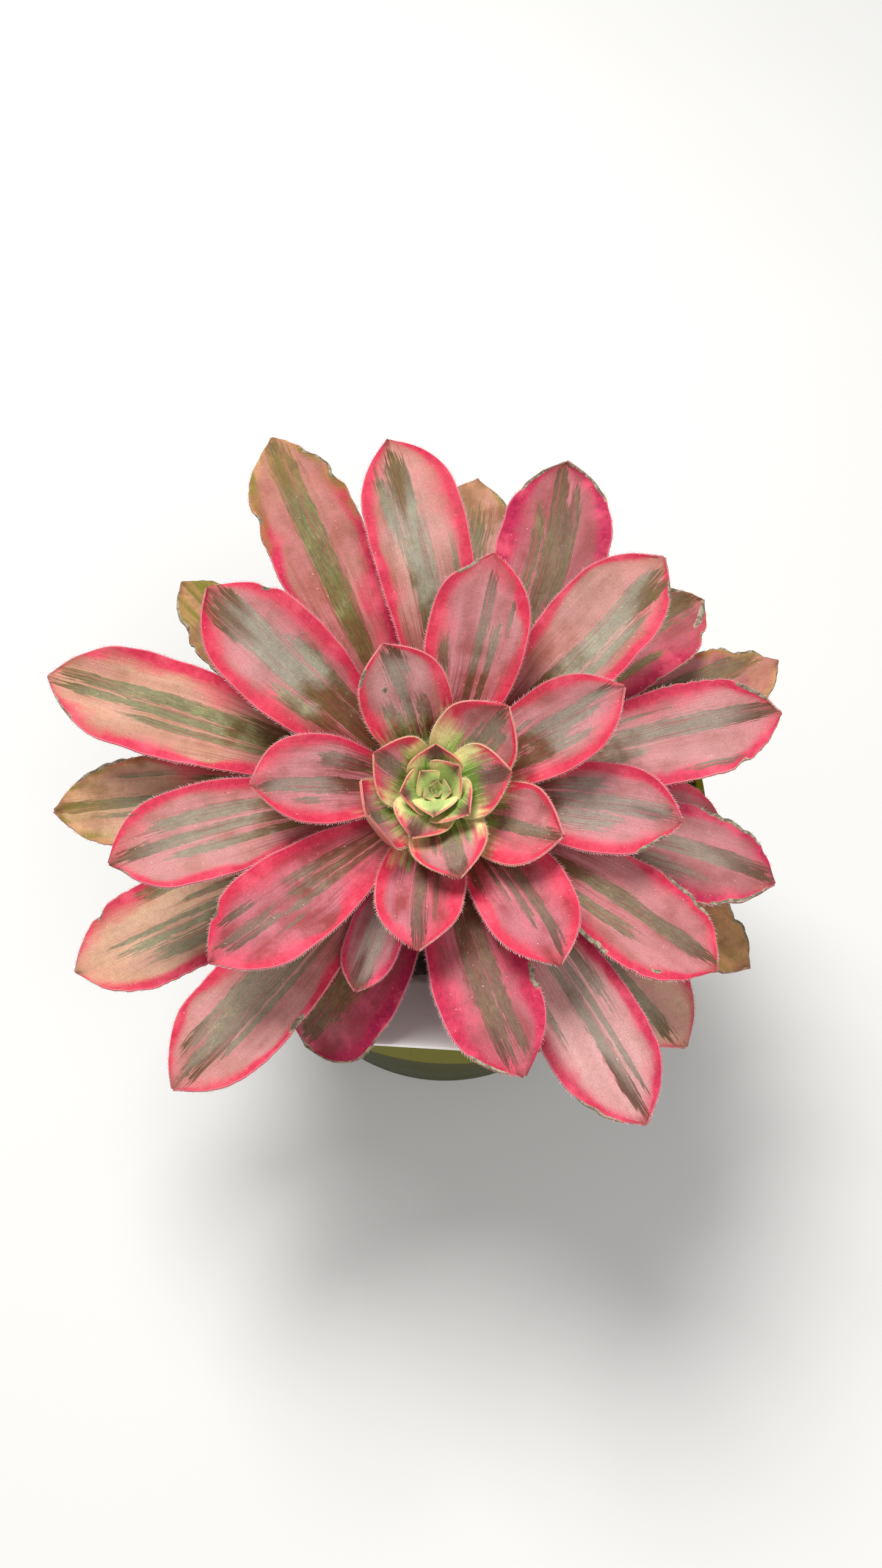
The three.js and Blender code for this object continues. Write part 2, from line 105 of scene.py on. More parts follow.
class Wire:
    """An output of a material's node. Arithmetic on it adds Math nodes."""

    def __init__(self, finish, socket):
        self.finish = finish
        self.socket = socket

    def maths(self, operation, *values):
        return self.finish.node("ShaderNodeMath", {"operation": operation}, dict(enumerate(values)))

    def __add__(self, other):
        return self.maths("ADD", self, other)

    def __radd__(self, other):
        return self.maths("ADD", other, self)

    def __sub__(self, other):
        return self.maths("SUBTRACT", self, other)

    def __rsub__(self, other):
        return self.maths("SUBTRACT", other, self)

    def __mul__(self, other):
        return self.maths("MULTIPLY", self, other)

    def __rmul__(self, other):
        return self.maths("MULTIPLY", other, self)

    def size(self):
        """The value without its sign."""
        return self.maths("ABSOLUTE", self)

    def over(self, low, high):
        """0 up to low, 1 from high, and a smooth rise between them. It falls if low is above high."""
        if low > high:
            return 1 - self.over(high, low)
        settings = {"interpolation_type": "SMOOTHSTEP"}
        values = {"Value": self, "From Min": low, "From Max": high}
        return self.finish.node("ShaderNodeMapRange", settings, values)


class Finish:
    """A material under construction, with its one Principled shader."""

    def __init__(self, name, **constants):
        self.material = bpy.data.materials.new(name)
        self.material.use_nodes = True
        self.tree = self.material.node_tree
        self.shader = self.tree.nodes["Principled BSDF"]
        for socket, value in constants.items():
            self.shader.inputs[socket.replace("_", " ")].default_value = value

    def node(self, kind, settings=None, values=None, output=0):
        """Adds a node, with its settings first and then the values or links of its sockets."""
        node = self.tree.nodes.new(kind)
        for name, setting in (settings or {}).items():
            setattr(node, name, setting)
        for key, value in (values or {}).items():
            if isinstance(value, Wire):
                self.tree.links.new(value.socket, node.inputs[key])
            else:
                node.inputs[key].default_value = value
        return Wire(self, node.outputs[output])

    def mix(self, share, first, second):
        """The first colour where share is 0 and the second where it is 1."""
        values = {0: share, 6: first, 7: second}
        return self.node("ShaderNodeMix", {"data_type": "RGBA"}, values, 2)

    def noise(self, where, scale, detail=2, roughness=0.5):
        """Cloudy noise from 0 to 1, with scale clouds to each unit of where."""
        values = {"Vector": where, "Scale": scale, "Detail": detail, "Roughness": roughness}
        return self.node("ShaderNodeTexNoise", {}, values)

    def place(self):
        """The point on the object, in metres."""
        return self.node("ShaderNodeTexCoord", {}, {}, "Object")

    def drawn_out(self, where, along):
        """The places with their height scaled, which draws a pattern out up and down."""
        return self.node("ShaderNodeMapping", {}, {"Vector": where, "Scale": (1, 1, along)})

    def join(self, x, y, z=0.0):
        return self.node("ShaderNodeCombineXYZ", {}, {0: x, 1: y, 2: z})

    def split(self, vector):
        """The three parts of a vector."""
        parts = self.node("ShaderNodeSeparateXYZ", {}, {0: vector}).socket.node.outputs
        return [Wire(self, part) for part in parts]

    def attribute(self, name):
        """A number that was written on the mesh."""
        return self.node("ShaderNodeAttribute", {"attribute_name": name}, {}, "Fac")

    def feed(self, socket, wire):
        self.tree.links.new(wire.socket, self.shader.inputs[socket])

    def bump(self, height, depth):
        """Raises the surface by height times depth, in metres."""
        values = {"Height": height, "Distance": depth, "Strength": 1.0}
        self.feed("Normal", self.node("ShaderNodeBump", {}, values))


def pot_radius(z):
    """The outer radius of the wall under the collar."""
    widest = RIM_RADIUS - COLLAR_DRAFT - COLLAR_STEP
    return FOOT_RADIUS + (widest - FOOT_RADIUS) * z / COLLAR_AT


def turned(name, profile, sides):
    """A closed turned shell: a ring that grows through a profile of radii and heights."""
    radius, z = profile[0]
    bpy.ops.mesh.primitive_circle_add(vertices=sides, radius=radius, location=(0, 0, z))
    shell = bpy.context.object
    shell.name = name
    bpy.ops.object.mode_set(mode="EDIT")
    bpy.ops.mesh.select_all(action="SELECT")
    for next_radius, next_z in profile[1:]:
        bpy.ops.mesh.extrude_region_move(TRANSFORM_OT_translate={"value": (0, 0, next_z - z)})
        grown = next_radius / radius
        bpy.ops.transform.resize(value=(grown, grown, 1), center_override=(0, 0, next_z))
        radius, z = next_radius, next_z
    bpy.ops.object.mode_set(mode="OBJECT")
    bpy.ops.object.transform_apply(location=True, rotation=True, scale=True)
    close_ends()
    return shell


def close_ends():
    """Fills the shell's first and last ring and turns its faces outwards."""
    bpy.ops.object.mode_set(mode="EDIT")
    bpy.ops.mesh.select_all(action="SELECT")
    bpy.ops.mesh.remove_doubles(threshold=SAME_PLACE)
    bpy.ops.mesh.select_all(action="DESELECT")
    bpy.ops.mesh.select_non_manifold()
    bpy.ops.mesh.edge_face_add()
    bpy.ops.mesh.select_all(action="SELECT")
    bpy.ops.mesh.normals_make_consistent(inside=False)
    bpy.ops.object.mode_set(mode="OBJECT")


def smoothed(piece, degrees):
    """Shades a piece smooth, apart from its edges that are sharper than the angle."""
    piece.select_set(True)
    bpy.context.view_layer.objects.active = piece
    bpy.ops.object.shade_smooth_by_angle(angle=math.radians(degrees))
    return piece


def finished(piece, finish, node):
    """Gives a piece its material, and lets it stand for its CAD node."""
    piece.data.materials.clear()
    piece.data.materials.append(finish)
    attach(piece, "root")
    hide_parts(node)
    piece.select_set(False)


def moulded_pot():
    """Turned from the middle of its underside, up the outside, over the lip and down the inside."""
    lip_foot = POT_HEIGHT - LIP_HEIGHT
    inside = RIM_RADIUS - LIP - WALL
    profile = [
        (PINHOLE, 0),
        (FOOT_RADIUS - UNDERSIDE_INSET, 0),
        (FOOT_RADIUS - FOOT_BEVEL, 0),
        (FOOT_RADIUS - FOOT_BEVEL / 3, FOOT_BEVEL / 3),
        (FOOT_RADIUS, FOOT_BEVEL),
        (pot_radius(COLLAR_AT / 2), COLLAR_AT / 2),
        (pot_radius(COLLAR_AT), COLLAR_AT),
        (pot_radius(COLLAR_AT) + EDGE / 3, COLLAR_AT + EDGE / 3),
        (COLLAR_RADIUS, COLLAR_AT + EDGE),
        (COLLAR_RADIUS, COLLAR_AT + 2 * EDGE),
        (RIM_RADIUS - LIP, lip_foot - EDGE),
        (RIM_RADIUS - EDGE / 2, lip_foot - EDGE / 2),
        (RIM_RADIUS, lip_foot),
        (RIM_RADIUS, POT_HEIGHT - EDGE),
        (RIM_RADIUS - EDGE / 3, POT_HEIGHT - EDGE / 3),
        (RIM_RADIUS - EDGE, POT_HEIGHT),
        (inside + EDGE / 2, POT_HEIGHT),
        (inside, POT_HEIGHT - EDGE / 2),
        (inside - COLLAR_DRAFT, COLLAR_AT + WALL),
        (pot_radius(COLLAR_AT) - WALL, COLLAR_AT - EDGE),
        (pot_radius(FLOOR) - WALL, FLOOR),
        (PINHOLE, FLOOR),
    ]
    shell = turned("nursery_pot", profile, POT_SIDES)
    for i in range(DRAIN_HOLES):
        angle = 2 * math.pi * (i + 0.5) / DRAIN_HOLES
        spot = (DRAIN_RING * math.cos(angle), DRAIN_RING * math.sin(angle), FLOOR / 2)
        bpy.ops.mesh.primitive_cylinder_add(
            vertices=DRAIN_SIDES, radius=DRAIN_RADIUS, depth=3 * FLOOR, location=spot
        )
        drill = bpy.context.object
        bpy.context.view_layer.objects.active = shell
        drilled = shell.modifiers.new("drain hole", "BOOLEAN")
        drilled.operation = "DIFFERENCE"
        drilled.object = drill
        bpy.ops.object.modifier_apply(modifier=drilled.name)
        bpy.data.objects.remove(drill)
    return smoothed(shell, 28)


def olive_plastic():
    """Clouded olive green, with painted light on the collar where light shines through the thin wall, dust
    near the foot and fine scuffs.
    """
    plastic = Finish("olive_plastic", IOR=1.2)
    where = plastic.place()
    clouds = plastic.noise(where, 26, 4)
    scuffs = plastic.noise(plastic.drawn_out(where, 0.12), 900, 3)
    _, _, height = plastic.split(where)
    dust = (height * 9 + (clouds - 0.5) * 0.9).over(0.45, 0.0)
    green = plastic.mix(clouds, paint(54, 56, 10), paint(70, 70, 16))
    # Painted light: the collar is made a brighter olive, as if lit through the thin wall above the soil.
    green = plastic.mix(height.over(COLLAR_AT, COLLAR_AT + EDGE) * 0.75, green, paint(124, 118, 20))
    dusty = plastic.mix(dust * 0.3, green, paint(84, 82, 50))
    plastic.feed("Base Color", plastic.mix(scuffs.over(0.64, 0.78) * 0.2, dusty, paint(112, 108, 50)))
    plastic.feed("Roughness", 0.45 + clouds * 0.16 + scuffs.over(0.6, 0.75) * 0.2)
    plastic.bump(clouds * 0.6 + scuffs * 0.2, 0.0003)
    return plastic.material


finished(moulded_pot(), olive_plastic(), "pot")

# ---------------------------------------------------------------------------------------------
# Soil: dark peat compost with crumbs, chips of bark and white perlite, a little below the rim.
# The body has the CAD's rough top, and the crumbs lie half sunk in it.

SOIL_LEVEL = 0.100
SOIL_ROUGHNESS = 0.0011
SOIL_EDGE_DROP = 0.0025
SOIL_GAP = 0.0006
SOIL_UNDER = 0.00235
SOIL_SIDES = 96
TOP_RINGS = 28
TOP_OUTER = 0.98
TOP_SPAN = 0.97
GRIT_HEIGHT = 0.0007
GRIT_SCALE = 260
CRUMBS = 1500
CRUMB_SHAPES = 5
CRUMB_SIZES = (0.0007, 0.0024)
CRUMB_CLEARANCE = 0.004
CRUMB_LUMPS = 0.35
CRUMB_RISE = 0.1
PERLITE_SHARE = 0.045
PERLITE_SIZES = (0.0008, 0.002)


def soil_top(x, y):
    """The height of the soil's uneven top, by the rule that the CAD has."""
    swell = math.sin(210 * x + 1.3) * math.cos(170 * y - 0.4)
    ripple = 0.5 * math.sin(400 * x - 330 * y)
    return SOIL_LEVEL + SOIL_ROUGHNESS * (swell + ripple)


def soil_body():
    """Turned to fill the pot, with rings enough on its top for the swells and the grit."""
    rim = COLLAR_RADIUS - WALL - SOIL_GAP
    foot = pot_radius(SOIL_UNDER) - WALL - SOIL_GAP
    profile = [(PINHOLE, SOIL_UNDER), (foot, SOIL_UNDER), (rim, SOIL_LEVEL - SOIL_EDGE_DROP)]
    for i in range(TOP_RINGS + 1):
        profile.append((rim * (TOP_OUTER - TOP_SPAN * i / TOP_RINGS), SOIL_LEVEL))
    body = turned("soil_body", profile, SOIL_SIDES)
    for vertex in body.data.vertices:
        x, y, z = vertex.co
        if z > SOIL_LEVEL - EDGE:
            grit = noise.fractal(Vector((x, y, 0)) * GRIT_SCALE, 0.7, 2.1, 4)
            vertex.co.z = soil_top(x, y) + GRIT_HEIGHT * grit
    return body


def crumb(kind):
    """One crumb of soil, chip of bark or bead of perlite, as a rough ball with few faces."""
    bpy.ops.mesh.primitive_ico_sphere_add(subdivisions=1, radius=1)
    ball = bpy.context.object
    for vertex in ball.data.vertices:
        vertex.co *= 1 + CRUMB_LUMPS * noise.noise(vertex.co * 1.7 + Vector((kind, 3 * kind, 1)))
    shape = ball.data
    bpy.data.objects.remove(ball)
    return shape


class Heap:
    """Small copies of shapes, gathered into one mesh."""

    def __init__(self):
        self.points = []
        self.faces = []

    def add(self, shape, corners):
        """Adds a copy of the shape that has its corners at these places."""
        start = len(self.points)
        self.points += corners
        self.faces += [[start + i for i in face.vertices] for face in shape.polygons]

    def piece(self, name):
        mesh = bpy.data.meshes.new(name)
        mesh.from_pydata(self.points, [], self.faces)
        piece = bpy.data.objects.new(name, mesh)
        bpy.context.collection.objects.link(piece)
        return piece


def scattered_crumbs(name, shapes, count, sizes, seed):
    """Crumbs strewn on the soil in one mesh, clear of the pot's wall."""
    draw = random.Random(seed)
    heap = Heap()
    rim = COLLAR_RADIUS - WALL - CRUMB_CLEARANCE
    for _ in range(count):
        away = rim * math.sqrt(draw.random())
        angle = draw.uniform(0, 2 * math.pi)
        x, y = away * math.cos(angle), away * math.sin(angle)
        size = draw.uniform(*sizes)
        squash = Vector((1, draw.uniform(0.5, 1), draw.uniform(0.45, 0.8))) * size
        turn = Matrix.Rotation(draw.uniform(0, 2 * math.pi), 3, "Z")
        turn = turn @ Matrix.Rotation(draw.uniform(-0.5, 0.5), 3, "X")
        shape = draw.choice(shapes)
        spot = Vector((x, y, soil_top(x, y) + CRUMB_RISE * size))
        heap.add(shape, [spot + turn @ (vertex.co * squash) for vertex in shape.vertices])
    return smoothed(heap.piece(name), 50)


def peat():
    """Dark brown in coarse patches, with fine paler fibres."""
    soil = Finish("peat", Roughness=0.95)
    where = soil.place()
    fine = soil.noise(where, 900, 4, 0.7)
    coarse = soil.noise(where, 190, 3)
    brown = soil.mix(coarse.over(0.35, 0.65), paint(38, 28, 22), paint(74, 56, 42))
    soil.feed("Base Color", soil.mix(fine.over(0.62, 0.72) * 0.6, brown, paint(118, 94, 70)))
    soil.bump(fine + coarse, 0.0012)
    return soil.material


def perlite():
    """Expanded white stone, a little grey in its pores."""
    stone = Finish("perlite", Roughness=0.9)
    grain = stone.noise(stone.place(), 1500, 3)
    stone.feed("Base Color", stone.mix(grain, paint(190, 184, 172), paint(236, 233, 226)))
    stone.bump(grain, 0.0003)
    return stone.material


peat_finish = peat()
crumb_shapes = [crumb(kind) for kind in range(CRUMB_SHAPES)]
bead_count = int(CRUMBS * PERLITE_SHARE)
crumbs = scattered_crumbs("soil_crumbs", crumb_shapes, CRUMBS, CRUMB_SIZES, seed=11)
beads = scattered_crumbs("soil_perlite", crumb_shapes, bead_count, PERLITE_SIZES, seed=12)
finished(soil_body(), peat_finish, "soil")
finished(crumbs, peat_finish, "soil")
finished(beads, perlite(), "soil")

# ---------------------------------------------------------------------------------------------
# Stem: a short woody stem that leans out of the soil, ringed with the scars of fallen leaves.
# s is measured along it from the growing tip, as in the CAD.

HEART = Vector((-0.005, -0.026, 0.166))
HEART_TILT = math.radians(20)
LEAN_TOWARDS = math.radians(-96)
LEANING_LENGTH = 0.068
BURIED_LENGTH = 0.034
STEM_TOP = 0.0056
STEM_TOP_RADIUS = 0.0042
STEM_FOOT_RADIUS = 0.007
SCAR_SPACING = 0.0055
SCAR_RELIEF = 0.00035
SCARS_AROUND = 5
STEM_RINGS = 140
STEM_SIDES = 40
STEM_STEPS = 24


def unit(value):
    """The value, held between 0 and 1."""
    return min(1, max(0, value))


def stem_axis(s):
    """The way the stem points at s. It leans most at its tip and stands upright in the soil."""
    tilt = HEART_TILT * max(0, 1 - s / LEANING_LENGTH)
    flat = math.sin(tilt)
    return Vector((flat * math.cos(LEAN_TOWARDS), flat * math.sin(LEAN_TOWARDS), math.cos(tilt)))


def stem_point(s):
    point = HEART.copy()
    for i in range(STEM_STEPS):
        point -= stem_axis((i + 0.5) * s / STEM_STEPS) * (s / STEM_STEPS)
    return point


def stem_radius(s):
    grown = unit((s - STEM_TOP) / (LEANING_LENGTH - STEM_TOP))
    return STEM_TOP_RADIUS + (STEM_FOOT_RADIUS - STEM_TOP_RADIUS) * grown


def stem_frame(s):
    """A frame on the stem at s, with +Z along the stem towards the growing tip."""
    turn = Vector((0, 0, 1)).rotation_difference(stem_axis(s)).to_matrix().to_4x4()
    return Matrix.Translation(stem_point(s)) @ turn


def woody_stem():
    """A turned rod, bent to the stem's line, with rows of scars on the part above the soil."""
    end = LEANING_LENGTH + BURIED_LENGTH
    profile = [(1, i / STEM_RINGS) for i in range(STEM_RINGS + 1)]
    stem = turned("woody_stem", profile, STEM_SIDES)
    for vertex in stem.data.vertices:
        s = end + (STEM_TOP - end) * vertex.co.z
        around = math.atan2(vertex.co.y, vertex.co.x)
        row = math.cos(2 * math.pi * s / SCAR_SPACING)
        diamond = math.cos(SCARS_AROUND * around + math.pi * round(s / SCAR_SPACING))
        knobs = noise.noise(Vector((math.cos(around), math.sin(around), s * 300)) * 1.6)
        radius = stem_radius(s)
        if s < LEANING_LENGTH:
            radius += SCAR_RELIEF * (row + 0.35 * diamond * (1 - row) + knobs)
        outward = Vector((math.cos(around), math.sin(around), 0)) * radius
        vertex.co = stem_frame(s) @ outward
    return smoothed(stem, 50)


def bark():
    """Tan and grey-brown in patches, with dark cracks that run along the stem."""
    wood = Finish("bark", Roughness=0.85)
    where = wood.place()
    cracks = wood.noise(wood.drawn_out(where, 0.25), 900, 5, 0.65)
    patches = wood.noise(where, 160, 3)
    tan = wood.mix(patches.over(0.35, 0.7), paint(112, 92, 66), paint(150, 132, 100))
    wood.feed("Base Color", wood.mix(cracks.over(0.45, 0.62) * 0.7, tan, paint(62, 48, 36)))
    wood.bump(cracks.over(0.6, 0.35) + patches, 0.0005)
    return wood.material


finished(woody_stem(), bark(), "stem")

# ---------------------------------------------------------------------------------------------
# Leaves: soft, thick, spoon-shaped blades on a golden-angle spiral, numbered from the youngest.
# Each is one grid bent to the form that the CAD gives it, made as thick as a real blade, with
# cut and corky places, and short stiff hairs along both margins.

# Sizes are in metres, angles in degrees, and ages in leaves since the youngest. The rest are
# shares of a leaf's length or width, or counts.
GOLDEN_ANGLE = 137.508
SPIRAL_START = -6
HEART_LEAVES = 13
MATURE = 26
YOUNG = {"widest": 0.5, "hollow": 0.3, "waist": 0.75, "bluntness": 2.1}
MATURED = {"widest": 0.7, "hollow": 0.16, "waist": 0.25, "bluntness": 3.5}
OPENS_OVER = 0.25
BASE_HOLLOW = 0.4
HEART_SPACING = 0.00036
LEAF_SPACING = 0.00062
RISE_LOWEST = -10
RISE_SPAN = 90
RISE_AGE = 19
ARCH = 12
CURL_FROM = 0.45
CURL_OVER = 0.35
BASE_HALF_WIDTH = 0.0031
SMALLEST_BASE = 0.7
BASE_THICKNESS = 0.0019
BLADE_THICKNESS = 0.0013
MARGIN_THICKNESS = 0.0007
YOUNG_MARGIN = 0.4
YOUNG_THINNESS = 0.6
THICKEST_SHARE = 0.6
TIP_HALF_WIDTH = 0.00035
ROOT_GAP = 0.00095
HEART_ROOT_RADIUS = 0.0016
INNERMOST_ROOT = 0.05
WAVE_HEIGHT = 0.0011
WAVES_PER_METRE = 55
WAVY_WIDTH = 0.02
FRILL_HEIGHT = 0.0011
FRILLS_PER_METRE = 130
GROOVE_DEPTH = 0.00035
GROOVE_BREADTH = 0.1
RAGS_PER_METRE = 420
NICK_BREADTH = 1.7
WANDER = 0.035
WANDERS_PER_METRE = 110
SOFT_FROM = 0.3
SOFT_TO = 1.7
BAND_STARTS_OVER = 0.12
BAND_ENDS_OVER = 0.1
TIGHT_LEAVES = 5
GREEN_BASES = 21
AGED = 43
RIB_STEPS = 240
RIB_END = 0.999999
ROW_LENGTH = 0.0012
FEWEST_ROWS = 16
COLUMNS = 36
TIP_SPOT = 0.0035
HAIR_SPACING = 0.00054
HAIR_LENGTH = 0.00088
HAIR_RADIUS = 0.00014
HAIR_SUNK = 0.0003
HAIR_BEND_AT = 0.45
SMALLEST_HAIRS = 0.3
SMALL_LEAF_WIDTH = 0.003
LARGE_LEAF_WIDTH = 0.024
HAIRS_FROM = 0.1
HAIRS_TO = 0.992
ALONG_STEP = 0.004
INWARD_STEP = 0.1

# What each leaf grew to, as in the CAD: its length and width, and in degrees how far it turned off
# the spiral, how far its rib sways, how much higher it stands than its age says, and how it curls.
# The leaves below 0 are the smallest ones, which close over the growing tip and aren't in the CAD.
GROWTH = {
    -4: (0.0038, 0.0032, {"lift": -30}),
    -3: (0.0048, 0.0042, {"lift": -28}),
    -2: (0.0060, 0.0054, {"lift": -26}),
    -1: (0.0074, 0.0066, {"lift": -24}),
    0: (0.009, 0.008, {"lift": -20}),
    1: (0.012, 0.010, {"lift": -14}),
    2: (0.017, 0.013, {"turn": 4, "lift": -8}),
    3: (0.017, 0.014, {"turn": -6, "lift": -4}),
    4: (0.016, 0.014, {"turn": 8, "lift": -4}),
    5: (0.021, 0.016, {}),
    6: (0.018, 0.0165, {"turn": -8}),
    7: (0.023, 0.0175, {"turn": 12}),
    8: (0.030, 0.021, {"turn": -4}),
    9: (0.025, 0.021, {"turn": 2}),
    10: (0.034, 0.022, {"turn": -2}),
    11: (0.036, 0.025, {"turn": -18}),
    12: (0.038, 0.022, {"turn": 6, "curl": 58}),
    13: (0.040, 0.024, {"turn": -3, "sway": -18}),
    14: (0.043, 0.026, {"turn": -7, "sway": -9}),
    15: (0.047, 0.025, {"turn": 10, "sway": -16}),
    16: (0.059, 0.025, {"turn": -6, "sway": -6, "lift": -1}),
    17: (0.051, 0.026, {"turn": 11, "sway": -28}),
    18: (0.060, 0.026, {"turn": -3, "sway": 26}),
    19: (0.067, 0.029, {"turn": -9, "sway": -7}),
    20: (0.076, 0.028, {"turn": -3, "lift": -2}),
    21: (0.067, 0.026, {"turn": -9, "sway": 12}),
    22: (0.084, 0.031, {"turn": 2, "sway": 6}),
    23: (0.080, 0.028, {"turn": 12, "sway": -20}),
    24: (0.090, 0.029, {"turn": -7}),
    25: (0.090, 0.028, {"turn": 4, "sway": -20}),
    26: (0.088, 0.028, {"turn": -1, "sway": 8}),
    27: (0.104, 0.030, {"turn": -7, "sway": -28}),
    28: (0.056, 0.016, {"turn": 6, "sway": -9}),
    29: (0.097, 0.029, {"turn": -7, "sway": 5}),
    30: (0.114, 0.030, {"turn": 6, "sway": -4}),
    31: (0.103, 0.030, {"turn": 7, "sway": 6}),
    32: (0.108, 0.034, {"turn": -3, "sway": -32}),
    33: (0.105, 0.029, {"turn": 19, "sway": 2}),
    34: (0.095, 0.028, {"turn": -2, "sway": 14}),
    35: (0.117, 0.031, {"turn": -10, "sway": 4, "lift": 6}),
    37: (0.103, 0.031, {"turn": -1, "sway": 10, "curl": -14}),
    38: (0.109, 0.028, {"turn": 4, "sway": -9}),
    39: (0.095, 0.028, {"sway": 20}),
    40: (0.103, 0.030, {"turn": -9, "sway": 2}),
    41: (0.084, 0.033, {"turn": 9, "sway": 34, "lift": 2, "curl": -44}),
    42: (0.112, 0.027, {"turn": 17, "sway": -8, "lift": -2}),
    43: (0.106, 0.025, {"turn": -7, "sway": 14}),
    46: (0.113, 0.032, {"turn": 7}),
    47: (0.099, 0.026, {"turn": -2, "sway": 23}),
    48: (0.090, 0.017, {"turn": -8, "sway": 5}),
    55: (0.084, 0.026, {"turn": 4, "sway": 8}),
}

# How each leaf is marked. v runs across the blade from -1 to 1, and u along it from 0 to 1.
#   bands             its dark bands as (middle v, half breadth in v, from u, to u)
#   olive             0 brown bands, 1 green ones
#   silver            the grey bloom on the middle of the blade, partly real bloom and partly painted sheen
#   left, right       how far the hot pink runs in from the +v and the -v margin
#   deep              0 coral pink, 1 deep magenta
#   pale              how far the inner blade fades to cream pink
#   dry               how far the leaf has dried to tan and brown
#   cork              corky scars as (u, v, half length and half breadth in metres)
#   nicks             bites out of a margin as (u, side, depth in metres)
#   ragged            how ragged the outer margin is, in metres
PLAIN = {
    "bands": [(0.0, 0.3, 0.25, 0.95)],
    "olive": 0.3,
    "silver": 0.4,
    "left": 0.4,
    "right": 0.4,
    "deep": 0.35,
    "pale": 0.3,
    "dry": 0.0,
    "cork": [],
    "nicks": [],
    "ragged": 0.0,
}
